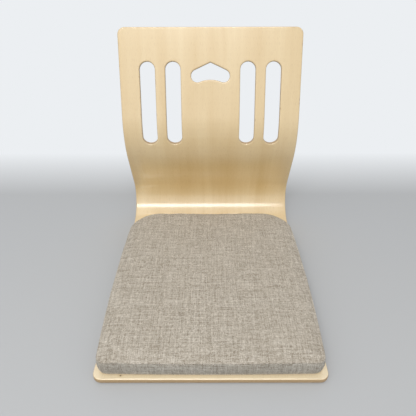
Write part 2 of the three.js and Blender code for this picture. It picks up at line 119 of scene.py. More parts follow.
stretches = [
    (seat_length, 0.0),
    (bend_radius * bend_angle, bend_angle),
    (lumbar_length, 0.0),
    (lumbar_radius * lumbar_angle, -lumbar_angle),
    (back_length, 0.0),
]
shell_length = sum(length for length, turn in stretches)
core_thickness = core_ply_count * core_ply_thickness + (core_ply_count + 1) * glue_line_gap
shell_thickness = 2 * face_veneer_thickness + core_thickness
front_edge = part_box("core_ply_3")[0].y
seat_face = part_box("hook_patch_front_left")[0].z - patch_glue_gap


def bent(across, distance, depth):
    """Places of points of the flat blank once it is bent. The front face follows straight and round
    stretches, and a round one of length L that turns by T has the radius L / T. A point goes its distance
    along the face and then its depth behind it, along (sin heading, -cos heading)."""
    y = np.zeros_like(distance)
    z = np.zeros_like(distance)
    heading = np.zeros_like(distance)
    start = 0.0
    before = 0.0
    for length, turn in stretches:
        gone = np.clip(distance - start, 0, length)
        turned = gone * turn / length
        if turn:
            radius = length / turn
            y += radius * (np.sin(before + turned) - math.sin(before))
            z += radius * (math.cos(before) - np.cos(before + turned))
        else:
            y += gone * math.cos(before)
            z += gone * math.sin(before)
        heading += turned
        start += length
        before += turn
    y += front_edge + depth * np.sin(heading)
    z += seat_face - depth * np.cos(heading)
    return np.stack([np.broadcast_to(across, y.shape), y, z], axis=-1)


def half_chord(level, centre, radius):
    """Half the width of a circle at a level: the root of radius squared less the distance squared. Under a
    tenth of a millimetre it counts as none, so that an outline closes in one point."""
    least = 0.0001
    square = radius**2 - (level - centre) ** 2
    return np.sqrt(np.where(square > least**2, square, 0))


# Hand hole: a round lobe on each side, a low arch between them, and straight shoulders up to a small
# round point.
hole_base = shell_length - hand_hole_top_margin - hand_hole_height
lobe_level = hole_base + lobe_radius
point_level = hole_base + hand_hole_height - point_radius
reach = math.hypot(lobe_offset, point_level - lobe_level)
shoulder = math.atan2(lobe_level - point_level, lobe_offset) + math.acos((point_radius - lobe_radius) / reach)
arch_rise = lobe_radius - arch_height
arch_radius = (lobe_offset**2 + arch_rise**2 - lobe_radius**2) / (2 * (lobe_radius - arch_rise))
arch_level = hole_base + arch_height - arch_radius
arch_share = arch_radius / (arch_radius + lobe_radius)
arch_end = arch_level + (lobe_level - arch_level) * arch_share


def hole_outer(level):
    """Half the width of the hand hole: a lobe, then the line that touches the lobe and the point, then the
    point's small circle."""
    lobe_end = lobe_level + lobe_radius * math.sin(shoulder)
    point_start = point_level + point_radius * math.sin(shoulder)
    ends = [lobe_end, point_start]
    widths = [lobe_offset + lobe_radius * math.cos(shoulder), point_radius * math.cos(shoulder)]
    line = np.interp(level, ends, widths)
    lobe = lobe_offset + half_chord(level, lobe_level, lobe_radius)
    point = half_chord(level, point_level, point_radius)
    width = np.where(level < lobe_end, lobe, np.where(level < point_start, line, point))
    return np.where(level < hole_base, lobe_offset, width)


def hole_inner(level):
    """Half the width of the tongue of wood between the lobes: up to the arch's end it follows the lobe, and
    from there the arch."""
    lobe = lobe_offset - half_chord(level, lobe_level, lobe_radius)
    arch = half_chord(level, arch_level, arch_radius)
    tongue = np.where(level < arch_end, lobe, arch)
    return np.where(level < hole_base, lobe_offset, np.where(level > hole_base + arch_height, 0, tongue))


# Slots with round ends, two on each side of the hand hole.
slot_radius = slot_width / 2
slot_high = shell_length - slot_top_margin - slot_radius
slot_low = slot_high - (slot_length - slot_width)
inner_slot = lobe_offset + lobe_radius + slot_inner_gap + slot_radius
outer_slot = inner_slot + slot_pitch


def slot_half(level):
    """Half the width of a slot at a level of the sheet."""
    inside = np.clip(level, slot_low, slot_high)
    return half_chord(level, inside, slot_radius) * (np.abs(level - inside) <= slot_radius)


def side_edge(level):
    """Half the width of the blank: less at the round corners of its front and top edges."""
    front = np.clip(front_corner_radius - level, 0, front_corner_radius)
    top = np.clip(level - shell_length + top_corner_radius, 0, top_corner_radius)
    front_cut = front_corner_radius - np.sqrt(front_corner_radius**2 - front**2)
    top_cut = top_corner_radius - np.sqrt(top_corner_radius**2 - top**2)
    return shell_width / 2 - front_cut - top_cut


def blank_levels():
    """Distances along the sheet at which the mesh has a row: close together where an outline turns away from
    the rows, and evenly spaced round the bends."""
    margin = 0.006
    quarter = np.radians(np.linspace(0, 90, 11))
    half_turns = np.radians(np.linspace(-90, 90, 21))
    bend_end = seat_length + bend_radius * bend_angle
    lumbar_start = bend_end + lumbar_length
    lumbar_end = shell_length - back_length
    arch_turn = math.asin((arch_end - arch_level) / arch_radius)
    shoulder_end = lobe_level + lobe_radius * math.sin(shoulder)
    rows = [
        front_corner_radius * (1 - np.cos(quarter)),
        np.linspace(front_corner_radius, seat_length, 14),
        np.linspace(seat_length, bend_end, 37),
        np.linspace(bend_end, lumbar_start, 5),
        np.linspace(lumbar_start, lumbar_end, 15),
        slot_low - slot_radius * np.cos(quarter),
        slot_high + slot_radius * np.sin(quarter),
        lobe_level + lobe_radius * np.sin(half_turns[half_turns <= shoulder]),
        np.linspace(shoulder_end, point_level, 5),
        point_level + point_radius * np.sin(np.linspace(shoulder, math.radians(90), 5)),
        arch_level + arch_radius * np.sin(np.linspace(arch_turn, math.radians(90), 7)),
        [slot_low - slot_radius - margin, slot_high + slot_radius + margin],
        [hole_base - margin, hole_base + arch_height],
        shell_length - top_corner_radius * (1 - np.cos(quarter)),
    ]
    return np.unique(np.round(np.concatenate(rows), 7))


def grid_faces(rows, columns):
    """Quads of a grid of points, numbered row by row."""
    corner = np.arange(rows - 1)[:, None] * columns + np.arange(columns - 1)
    quads = np.stack([corner, corner + 1, corner + columns + 1, corner + columns], axis=-1)
    return quads.reshape(-1, 4)


def in_triangles(quads):
    """Each quad as two triangles, without those that have no area because two corners are one point."""
    halves = np.concatenate([quads[:, [0, 1, 2]], quads[:, [0, 2, 3]]])
    apart = (halves[:, 0] != halves[:, 1]) & (halves[:, 1] != halves[:, 2]) & (halves[:, 2] != halves[:, 0])
    return halves[apart]


def rim_edges(faces):
    """Directed edges of the faces that no other face shares."""
    following = np.roll(faces, -1, axis=1)
    edges = np.stack([faces.ravel(), following.ravel()], axis=1)
    count = faces.max() + 1
    alone = ~np.isin(edges[:, 0] * count + edges[:, 1], edges[:, 1] * count + edges[:, 0])
    return edges[alone]


def flat_blank():
    """Points (across, distance) and triangles of the flat blank. Between neighbouring outlines each row is
    spread by fixed shares, and points that coincide become one."""
    level = blank_levels()
    shares = np.array([0, 0.12, 0.5, 0.88, 1])
    side, slot, outer, inner = side_edge(level), slot_half(level), hole_outer(level), hole_inner(level)
    tongue_start = np.where(level > hole_base + arch_height, 0, inner)
    right = [
        (np.zeros_like(level), tongue_start),
        (outer, inner_slot - slot),
        (inner_slot + slot, outer_slot - slot),
        (outer_slot + slot, side),
    ]
    strips = right + [(-end, -start) for start, end in right]
    points = []
    faces = []
    for start, end in strips:
        across = start[:, None] + (end - start)[:, None] * shares
        along = np.broadcast_to(level[:, None], across.shape)
        points.append(np.stack([across, along], axis=-1).reshape(-1, 2))
        faces.append(grid_faces(len(level), len(shares)) + len(faces) * level.size * shares.size)
    places = np.round(np.concatenate(points), 7)
    places, number = np.unique(places, axis=0, return_inverse=True)
    triangles = in_triangles(number.reshape(-1)[np.concatenate(faces)])
    used, number = np.unique(triangles, return_inverse=True)
    return places[used], number.reshape(-1, 3)


def rim_inwards(places, faces):
    """Direction in which each point moves as the outline is drawn into the wood. At the rim it is square to
    the rim, and away from the rim it fades out over a short way."""
    fade = 0.012
    edges = rim_edges(faces)
    way = places[edges[:, 1]] - places[edges[:, 0]]
    way /= np.linalg.norm(way, axis=1, keepdims=True)
    left = np.stack([-way[:, 1], way[:, 0]], axis=1)
    total = np.zeros_like(places)
    np.add.at(total, edges[:, 0], left)
    np.add.at(total, edges[:, 1], left)
    rim = np.unique(edges)
    inwards = total[rim] / np.linalg.norm(total[rim], axis=1, keepdims=True)
    gap = np.linalg.norm(places[:, None] - places[rim][None], axis=2)
    nearest = gap.argmin(axis=1)
    share = np.clip(1 - gap.min(axis=1) / fade, 0, 1)
    return inwards[nearest] * share[:, None]


def sheet_solid(rings, faces):
    """Closed solid between copies of one triangulated face: the first copy, the last one turned over, and a
    wall through all copies along the rim. Returns points, faces and each point's place in its copy."""
    count = rings.shape[1]
    edges = rim_edges(faces)
    rim = np.unique(edges)
    order = np.zeros(count, int)
    order[rim] = np.arange(len(rim))
    points = np.concatenate([rings[0], rings[-1], rings[1:-1][:, rim].reshape(-1, 3)])
    source = np.concatenate([np.arange(count), np.arange(count), np.tile(rim, len(rings) - 2)])

    def number(ring, vertices):
        if ring == 0:
            return vertices
        if ring == len(rings) - 1:
            return count + vertices
        return 2 * count + (ring - 1) * len(rim) + order[vertices]

    start, end = edges[:, 0], edges[:, 1]
    walls = []
    for ring in range(len(rings) - 1):
        wall = [number(ring, end), number(ring, start), number(ring + 1, start), number(ring + 1, end)]
        walls.append(np.stack(wall, axis=1))
    all_faces = faces.tolist() + (faces[:, ::-1] + count).tolist() + np.concatenate(walls).tolist()
    return points, all_faces, source


def add_piece(name, points, faces, uv, material, body, nodes=(), sharp=40):
    """New mesh object with smooth shading but for edges that turn by more than the sharp angle. The uv map
    holds cloth or blank coordinates in metres, one pair for each point."""
    mesh = bpy.data.meshes.new(name)
    mesh.from_pydata(points.tolist(), [], faces)
    if uv is not None:
        corners = np.zeros(len(mesh.loops), int)
        mesh.loops.foreach_get("vertex_index", corners)
        mesh.uv_layers.new(name="cloth").data.foreach_set("uv", uv[corners].astype(np.float32).ravel())
    mesh.shade_smooth()
    mesh.set_sharp_from_angle(angle=math.radians(sharp))
    mesh.materials.append(material)
    made = bpy.data.objects.new(name, mesh)
    bpy.context.scene.collection.objects.link(made)
    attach(made, body)
    if nodes:
        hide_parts(*nodes)
    return made


def colour(red, green, blue):
    """Colour of a display value from 0 to 255 in linear light."""
    share = np.array([red, green, blue]) / 255
    linear = np.where(share <= 0.04045, share / 12.92, ((share + 0.055) / 1.055) ** 2.4)
    return (*linear.tolist(), 1)


def node(tree, kind, inputs=None, **settings):
    """New shader node. Its inputs are values, or other nodes' sockets to link from."""
    made = tree.nodes.new("ShaderNode" + kind)
    for name, value in settings.items():
        setattr(made, name, value)
    for name, value in (inputs or {}).items():
        if isinstance(value, bpy.types.NodeSocket):
            tree.links.new(value, made.inputs[name])
        else:
            made.inputs[name].default_value = value
    return made


def math_node(tree, operation, first, second=0.0):
    """Result of one step of arithmetic."""
    return node(tree, "Math", {0: first, 1: second}, operation=operation).outputs[0]


def multiplied(tree, first, second):
    """Product of two values."""
    return math_node(tree, "MULTIPLY", first, second)


def added(tree, first, second):
    """Sum of two values."""
    return math_node(tree, "ADD", first, second)


def vector_length(tree, vector):
    """Length of a vector."""
    return node(tree, "VectorMath", {0: vector}, operation="LENGTH").outputs["Value"]


def stretched(tree, vector, x, y, z=1.0):
    """A vector with its three parts multiplied, which makes a pattern finer along each."""
    return node(tree, "Mapping", {"Vector": vector, "Scale": (x, y, z)}).outputs[0]


def noise(tree, vector, detail=2.0, roughness=0.5):
    """Value of a soft noise at a vector that has its scale already."""
    inputs = {"Vector": vector, "Scale": 1.0, "Detail": detail, "Roughness": roughness}
    return node(tree, "TexNoise", inputs).outputs["Fac"]


def spread(tree, value, low, high, to_low=0.0, to_high=1.0):
    """A value mapped from one range to another and held inside it."""
    inputs = {"Value": value, "From Min": low, "From Max": high, "To Min": to_low, "To Max": to_high}
    return node(tree, "MapRange", inputs).outputs[0]


def blended(tree, share, first, second):
    """Two colours mixed by a share."""
    made = node(tree, "Mix", {"Factor": share}, data_type="RGBA")
    for socket, value in zip(made.inputs[6:8], (first, second)):
        if isinstance(value, bpy.types.NodeSocket):
            tree.links.new(value, socket)
        else:
            socket.default_value = value
    return made.outputs[2]


def new_group(name, inputs, outputs):
    """Empty node group with named inputs and outputs. Returns its tree and its two end nodes."""
    tree = bpy.data.node_groups.new(name, "ShaderNodeTree")
    for label, kind in inputs.items():
        tree.interface.new_socket(label, in_out="INPUT", socket_type="NodeSocket" + kind)
    for label, kind in outputs.items():
        tree.interface.new_socket(label, in_out="OUTPUT", socket_type="NodeSocket" + kind)
    return tree, tree.nodes.new("NodeGroupInput"), tree.nodes.new("NodeGroupOutput")


def new_material(name, **settings):
    """Material with its shader's plain values set on the shader itself, with its tree and its shader."""
    material = bpy.data.materials.new(name)
    material.use_nodes = True
    tree = material.node_tree
    shader = tree.nodes["Principled BSDF"]
    for label, value in settings.items():
        shader.inputs[label.replace("_", " ")].default_value = value
    return material, tree, shader


def link_finish(tree, shader, shade, height, strength, distance):
    """Colour and fine relief of a material, linked to its shader."""
    tree.links.new(shade, shader.inputs["Base Color"])
    bump = node(tree, "Bump", {"Height": height, "Strength": strength, "Distance": distance})
    tree.links.new(bump.outputs[0], shader.inputs["Normal"])


def long_grain_group():
    """Grain of rotary-cut veneer along the second coordinate: cloudy figure, soft streaks, hair-fine fibres
    and short pores. Tone runs from 0, dark, to 1, light."""
    tree, start, end = new_group("long_grain", {"Vector": "Vector"}, {"Tone": "Float", "Pores": "Float"})
    vector = start.outputs["Vector"]
    drift = noise(tree, stretched(tree, vector, 5, 2.5), 2.0)
    shift = node(tree, "CombineXYZ", {0: multiplied(tree, drift, 0.03)}).outputs[0]
    vector = node(tree, "VectorMath", {0: vector, 1: shift}, operation="ADD").outputs[0]
    figure = noise(tree, stretched(tree, vector, 20, 2.6), 3.0)
    streaks = noise(tree, stretched(tree, vector, 65, 1.6), 1.0)
    fibres = noise(tree, stretched(tree, vector, 900, 9), 3.0, 0.6)
    tone = added(tree, multiplied(tree, figure, 0.75), multiplied(tree, streaks, 0.25))
    tone = added(tree, tone, multiplied(tree, fibres, 0.22))
    tree.links.new(spread(tree, tone, 0.25, 0.97), end.inputs["Tone"])
    pores = noise(tree, stretched(tree, vector, 2200, 90), 1.0)
    tree.links.new(spread(tree, pores, 0.62, 0.74), end.inputs["Pores"])
    return tree


long_grain = long_grain_group()
birch_light = colour(245, 225, 184)
birch_dark = colour(219, 188, 134)
# Painted bounce light and shade: the warmer, darker tones of the wood above the bend.
painted_bounce_light = colour(242, 219, 171)
painted_bounce_dark = colour(216, 182, 120)
# Painted light: the paler tone of the sheet's front end.
painted_light_front_end = colour(249, 233, 201)
birch_pore = colour(166, 124, 74)
dark_spot_brown = colour(74, 48, 30)
pore_share = 0.35
wood_roughness = (0.42, 0.34)
# Where along the sheet the painted bounce light above the bend and the painted light at the front end lie.
painted_bounce_middle = 0.585
painted_bounce_reach = (0.03, 0.085)
painted_light_reach = (0.012, 0.07)
painted_light_share = 0.8
dark_spot_from_middle = 0.148
dark_spot_from_front = 0.0062
dark_spot_stretch = 1.4
dark_spot_rim = (0.0011, 0.0018)
dark_spot_ring = (0.0015, 0.006)
dark_spot_ring_share = 0.4


def face_veneer_material():
    """Clear satin lacquer over pale birch. The grain runs along the sheet, through the bends. Painted light
    makes the wood palest at the front end, and painted bounce light and shade make it a shade warmer and
    darker above the tight bend. A small dark spot with a darker ring round it lies near the front edge."""
    lacquer = {"Coat_Weight": 1.0, "Coat_Roughness": 0.17, "Coat_IOR": 1.72}
    material, tree, shader = new_material("birch_face", IOR=1.45, **lacquer)
    blank = node(tree, "UVMap", uv_map="cloth").outputs[0]
    grain = node(tree, "Group", {"Vector": blank}, node_tree=long_grain)
    along = node(tree, "SeparateXYZ", {0: blank}).outputs[1]
    # Painted bounce light and shade: above the concave bend the tones turn warmer and darker, the way the
    # bend's bounced light and shade look.
    from_painted_bounce = math_node(tree, "ABSOLUTE", math_node(tree, "SUBTRACT", along, painted_bounce_middle))
    painted_bounce_share = spread(tree, from_painted_bounce, *painted_bounce_reach, 1.0, 0.0)
    dark = blended(tree, painted_bounce_share, birch_dark, painted_bounce_dark)
    light = blended(tree, painted_bounce_share, birch_light, painted_bounce_light)
    wood = blended(tree, grain.outputs["Tone"], dark, light)
    # Painted light: the sheet's front end is blended towards a paler tone, the way the light on the seat's
    # bare front strip looks.
    wood = blended(tree, spread(tree, along, *painted_light_reach, painted_light_share, 0.0), wood, painted_light_front_end)
    wood = blended(tree, multiplied(tree, grain.outputs["Pores"], pore_share), wood, birch_pore)
    # A small dark spot near the front edge, with a fainter darker ring round it.
    dark_spot_shift = (dark_spot_from_middle, -dark_spot_from_front, 0)
    dark_spot_place = node(tree, "Mapping", {"Vector": blank, "Location": dark_spot_shift}).outputs[0]
    from_dark_spot = vector_length(tree, stretched(tree, dark_spot_place, 1, dark_spot_stretch))
    wood = blended(tree, spread(tree, from_dark_spot, *dark_spot_ring, dark_spot_ring_share, 0.0), wood, birch_dark)
    wood = blended(tree, spread(tree, from_dark_spot, *dark_spot_rim, 1.0, 0.0), wood, dark_spot_brown)
    rough = spread(tree, grain.outputs["Tone"], 0, 1, *wood_roughness)
    tree.links.new(rough, shader.inputs["Roughness"])
    relief = math_node(tree, "SUBTRACT", grain.outputs["Tone"], grain.outputs["Pores"])
    link_finish(tree, shader, wood, relief, 0.12, 0.0002)
    return material


def core_ply_material(name, light, dark, fineness):
    """Lacquered edge of a core ply. Long grain shows fine lines along the edge, and end grain shows the dark
    dots of cut vessels."""
    material, tree, shader = new_material(name, Coat_Weight=0.4, Coat_Roughness=0.3, IOR=1.5)
    place = node(tree, "TexCoord").outputs["Object"]
    lines = noise(tree, stretched(tree, place, *fineness), 3.0, 0.6)
    dots = noise(tree, stretched(tree, place, 2600, 2600, 2600), 1.0)
    wood = blended(tree, spread(tree, lines, 0.35, 0.65), dark, light)
    wood = blended(tree, spread(tree, dots, 0.6, 0.75, 0, 0.6), wood, birch_pore)
    tree.links.new(spread(tree, lines, 0.3, 0.7, 0.6, 0.45), shader.inputs["Roughness"])
    link_finish(tree, shader, wood, lines, 0.2, 0.0002)
    return material


long_edge_light = colour(210, 187, 149)
long_edge_dark = colour(190, 162, 121)
long_edge_fineness = (400, 400, 2400)
end_edge_light = colour(190, 158, 116)
end_edge_dark = colour(164, 129, 87)
end_edge_fineness = (1500, 1500, 1500)
birch_face = face_veneer_material()
long_edge = core_ply_material("birch_long_grain_edge", long_edge_light, long_edge_dark, long_edge_fineness)
end_edge = core_ply_material("birch_end_grain_edge", end_edge_light, end_edge_dark, end_edge_fineness)


def ring_depths(near, far):
    """Depths of a ply's copies: even steps round the shell's edge where it is round, else its two faces."""
    if near >= edge_radius:
        return np.array([near, far])
    turns = np.arccos(1 - np.clip([near, far], 0, edge_radius) / edge_radius)
    depths = edge_radius * (1 - np.cos(np.linspace(*turns, edge_copies)))
    depths[[0, -1]] = near, far
    return depths


def edge_inset(depth):
    """How far the round edge draws a layer in: radius less the root of radius squared less height squared."""
    height = edge_radius - np.clip(np.minimum(depth, shell_thickness - depth), 0, edge_radius)
    return edge_radius - np.sqrt(edge_radius**2 - height**2)


def plywood():
    """Seven closed plies, each with its own piece and grain."""
    places, faces = flat_blank()
    inwards = rim_inwards(places, faces)
    names = ["front_face_veneer", *[f"core_ply_{k + 1}" for k in range(core_ply_count)], "back_face_veneer"]
    near = 0.0
    for number, name in enumerate(names):
        outer = number in (0, len(names) - 1)
        far = near + (face_veneer_thickness if outer else core_ply_thickness)
        if near > shell_thickness / 2:
            depths = shell_thickness - ring_depths(shell_thickness - far, shell_thickness - near)[::-1]
        else:
            depths = ring_depths(near, far)
        copies = [places + inwards * edge_inset(depth) for depth in depths]
        rings = np.stack([bent(copy[:, 0], copy[:, 1], depth) for copy, depth in zip(copies, depths)])
        points, solid, source = sheet_solid(rings, faces)
        material = birch_face if outer else (end_edge, long_edge)[number % 2]
        add_piece(name + "_wood", points, solid, places[source], material, "shell", [name])
        near = far + glue_line_gap


plywood()

# Cushion cover: a crowned top panel, a boxing band round the front and the sides, and a base panel, all cut
# from one taupe linen weave. They are sewn edge to edge, and each seam sinks in a shallow groove between
# rolled edges.
cushion_side_inset = 0.009
cushion_front_inset = 0.0082
cushion_rear_gap = 0.017
cushion_front_radius = 0.014
cushion_rear_radius = 0.060
side_bulge = 0.006
front_bow = 0.002
front_sag = 0.0015
base_inset = 0.001
boxing_height = 0.0317
boxing_barrel = 0.002
crown_height = 0.0042
crown_power = 5
rear_lift = 0.004
rear_sag = 0.001
rear_sag_reach = 0.06
flat_rear_share = 0.1
end_power = 6
corner_drop = 0.0025
corner_power = 8
swell_height = 0.0004
cloth_thickness = 0.0009
zip_half_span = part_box("zip_strip_upper")[1].x
cushion_width = shell_width - 2 * cushion_side_inset
cushion_depth = seat_length - cushion_front_inset - cushion_rear_gap
half_width = cushion_width / 2
half_depth = cushion_depth / 2
cushion_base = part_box("cushion_base_panel")[0].z
cushion_middle = front_edge + cushion_front_inset + half_depth
panel_roll = 0.0018
boxing_roll = 0.0016
seam_turn = math.radians(50)
seam_gap = 0.0001
pucker_height = 0.00035
pucker_reach = 0.009
pucker_cycles = (61, 79, 97, 127)
pucker_groups = (5, 7, 11)
seam_wave = 0.0006
seam_wave_cycles = (9, 17, 26, 35)
seam_places = np.random.default_rng(11)


def plan(turn, inset=0.0):
    """Points on the cushion's outline seen from above. A turn runs anticlockwise from 0 to 4, one for each
    side from the middle of a corner to the middle of the next, and starts at the front left corner. The
    outline is a rectangle with round corners, drawn in by the inset on all sides but the rear. Then x grows
    by bulge times (1 - (y / half depth) squared), and the front side moves out by bow times (1 - (x / half
    width) squared)."""
    eighth = np.radians(np.linspace(0, 45, 13))
    near_radius = cushion_front_radius - inset
    far_radius = cushion_rear_radius - inset
    side_x = half_width - inset
    front_y = half_depth - inset
    corners = [
        (-side_x + near_radius, -front_y + near_radius, near_radius, math.radians(180)),
        (side_x - near_radius, -front_y + near_radius, near_radius, math.radians(270)),
        (side_x - far_radius, half_depth - far_radius, far_radius, 0.0),
        (-side_x + far_radius, half_depth - far_radius, far_radius, math.radians(90)),
    ]
    knots, places = [], []
    for side in range(4):
        stretch = []
        for (x, y, radius, start), offset in ((corners[side], 45), (corners[(side + 1) % 4], 0)):
            angles = start + math.radians(offset) + eighth
            stretch.append(np.stack([x + radius * np.cos(angles), y + radius * np.sin(angles)], axis=1))
        stretch = np.concatenate(stretch)
        steps = np.linalg.norm(np.diff(stretch, axis=0), axis=1)
        knots.append(side + np.concatenate([[0], np.cumsum(steps)]) / steps.sum())
        places.append(stretch)
    knots, places = np.concatenate(knots), np.concatenate(places)
    x = np.interp(turn % 4, knots, places[:, 0])
    y = np.interp(turn % 4, knots, places[:, 1])
    bow = front_bow * (1 - (x / half_width) ** 2) * (y < 0)
    return x * (1 + side_bulge / half_width * (1 - (y / half_depth) ** 2)), y * (1 + bow / half_depth)


def plan_turn(across, along):
    """Turn at which the line from the middle through a point of the square from -1 to 1 meets the outline,
    and the share of the way out to it, which is the larger of the two sizes."""
    share = np.maximum(np.abs(across), np.abs(along))
    x, y = across / np.maximum(share, 1e-9), along / np.maximum(share, 1e-9)
    sides = [along <= -share, across >= share, along >= share]
    turn = np.select(sides, [(1 + x) / 2, 1 + (1 + y) / 2, 2 + (1 - x) / 2], 3 + (1 - y) / 2)
    return turn, share


def front_drop(x, y):
    """How far the front seam hangs: sag times (1 - (x / half width) squared), and only near the front."""
    hang = np.clip(1 - (x / half_width) ** 2, 0, 1)
    return front_sag * hang * np.clip(-y / half_depth, 0, 1) ** end_power


def waves(turn, cycles):
    """Sum of sines round the outline, each with its own number of cycles and its own phase. It stays within
    about -1 and 1."""
    phases = seam_places.uniform(0, 2 * math.pi, len(cycles))
    total = sum(np.sin(turn * count * math.pi / 2 + phase) for count, phase in zip(cycles, phases))
    return total / math.sqrt(len(cycles))


outline_turns = np.linspace(0, 4, 1601)
puckers = waves(outline_turns, pucker_cycles) * (0.6 + 0.4 * waves(outline_turns, pucker_groups))
seam_drift = waves(outline_turns, seam_wave_cycles)


def around(turn, values):
    """Value of a wave table at a turn."""
    return np.interp(turn % 4, outline_turns, values)


def slab(one_side, other_side):
    """Closed solid between two grids of points, which is as thick as the sides are apart."""
    rings = np.stack([one_side.reshape(-1, 3), other_side.reshape(-1, 3)])
    return sheet_solid(rings, grid_faces(*one_side.shape[:2]))


def cloth_solid(outer):
    """Closed solid of cloth behind a grid of points. Its inner side is the outer one, moved against its
    normal by the cloth's thickness."""
    rows = np.gradient(outer, axis=0)
    columns = np.gradient(outer, axis=1)
    normal = np.cross(columns, rows)
    normal /= np.linalg.norm(normal, axis=2, keepdims=True)
    return slab(outer, outer - normal * cloth_thickness)


def slow_swell(x, y):
    """Slow unevenness of a stuffed cover: sines crossed over each other, with waves of 75 to 200 mm."""
    return np.sin(x * 47 + 0.6) * np.sin(y * 39 + 1.9) + 0.6 * np.sin(x * 83 - y * 31 + 2.2)


def sewn_surface(across, along):
    """Outer side of the top panel before it is filled. Height is the boxing's, plus crown times
    (1 - share ** power), less a drop at the corners. At the border the cloth rolls over a quarter circle and
    on into the seam."""
    turn, share = plan_turn(across, along)
    run = (1 - share) * half_width
    angle = np.minimum(run / panel_roll - seam_turn, math.pi / 2)
    flat_run = np.maximum(run - panel_roll * (math.pi / 2 + seam_turn), 0)
    inset = panel_roll * (1 - np.cos(angle)) + flat_run
    drop = panel_roll * (1 - np.sin(angle))
    share = 1 - inset / half_width
    x, y = plan(turn)
    x, y = x * share, y * share
    corner = (np.abs(x / half_width) * np.abs(y / half_depth)) ** corner_power
    z = cushion_base + boxing_height + crown_height * (1 - share**crown_power) - corner_drop * corner - drop
    z -= front_drop(x, y)
    near_seam = np.exp(-run / pucker_reach)
    z += near_seam * (pucker_height * around(turn, puckers) + seam_wave * around(turn, seam_drift))
    z += swell_height * slow_swell(x, y) * (1 - near_seam)
    rear_rise = rear_lift - rear_sag * np.exp(-((x / rear_sag_reach) ** 2))
    z += rear_rise * np.clip(y / half_depth, 0, 1) ** end_power
    return np.stack([x, y + cushion_middle, z], axis=-1)


# Filled cover: a guide panel, cut a little larger than its frame of seams, is blown up by Blender's cloth
# solver. Its shift lends the top panel the swell and the slack beside the seams that a filled cover has.
guide_columns = 75
guide_rows = 81
guide_border = 0.0046
guide_growth = 0.012
guide_frames = 20
guide_cap = 0.003


def filled_shift():
    """Shift of the guide panel's points from its first frame to its last, none larger than the cap."""
    share = 1 - guide_border / half_width
    across, along = np.meshgrid(np.linspace(-1, 1, guide_columns), np.linspace(-1, 1, guide_rows))
    start = sewn_surface(across * share, along * share).reshape(-1, 3)
    mesh = bpy.data.meshes.new("cover_guide")
    mesh.from_pydata(start.tolist(), [], grid_faces(guide_rows, guide_columns).tolist())
    guide = bpy.data.objects.new("cover_guide", mesh)
    bpy.context.scene.collection.objects.link(guide)
    seam = guide.vertex_groups.new(name="seam")
    rim = np.maximum(np.abs(across), np.abs(along)).ravel() > 1 - 1e-6
    seam.add(np.nonzero(rim)[0].tolist(), 1.0, "REPLACE")
    cloth = guide.modifiers.new("filling", "CLOTH")
    cloth.settings.quality = 8
    cloth.settings.mass = 0.2
    cloth.settings.tension_stiffness = 25
    cloth.settings.compression_stiffness = 25
    cloth.settings.bending_stiffness = 0.2
    cloth.settings.shrink_min = -guide_growth
    cloth.settings.use_pressure = True
    cloth.settings.uniform_pressure_force = 4
    cloth.settings.vertex_group_mass = "seam"
    cloth.settings.effector_weights.gravity = 0
    cloth.point_cache.frame_start = 1
    cloth.point_cache.frame_end = guide_frames
    for moment in range(1, guide_frames + 1):
        bpy.context.scene.frame_set(moment)
    shaped = guide.evaluated_get(bpy.context.evaluated_depsgraph_get())
    end = np.zeros(len(start) * 3)
    shaped.data.vertices.foreach_get("co", end)
    bpy.data.objects.remove(guide)
    bpy.context.scene.frame_set(1)
    shift = end.reshape(-1, 3) - start
    length = np.linalg.norm(shift, axis=1, keepdims=True)
    shift *= np.minimum(1, guide_cap / np.maximum(length, 1e-9))
    return shift.reshape(guide_rows, guide_columns, 3)


cover_shift = filled_shift()


def cubic_weights(place, count):
    """Weights of the values at 0, 1, 2 and so on for a smooth value between them. With a gap g to each they
    are 1.5 g^3 - 2.5 g^2 + 1 under one, and -0.5 g^3 + 2.5 g^2 - 4 g + 2 from one to two."""
    gap = np.abs(place[:, None] - np.arange(count))
    close = 1.5 * gap**3 - 2.5 * gap**2 + 1
    wide = -0.5 * gap**3 + 2.5 * gap**2 - 4 * gap + 2
    weights = np.where(gap < 1, close, np.where(gap < 2, wide, 0))
    return weights / weights.sum(axis=1, keepdims=True)


def top_surface(across, along):
    """Outer side of the filled top panel: the sewn surface, moved by the guide panel's shift."""
    share = 1 - guide_border / half_width
    column = (np.clip(across[0] / share, -1, 1) + 1) / 2 * (guide_columns - 1)
    row = (np.clip(along[:, 0] / share, -1, 1) + 1) / 2 * (guide_rows - 1)
    rows_done = np.einsum("ij,jkc->ikc", cubic_weights(row, guide_rows), cover_shift)
    shift = np.einsum("lk,ikc->ilc", cubic_weights(column, guide_columns), rows_done)
    return sewn_surface(across, along) + shift


seam_level = cushion_base + boxing_height - panel_roll * (1 + math.sin(seam_turn)) - seam_gap


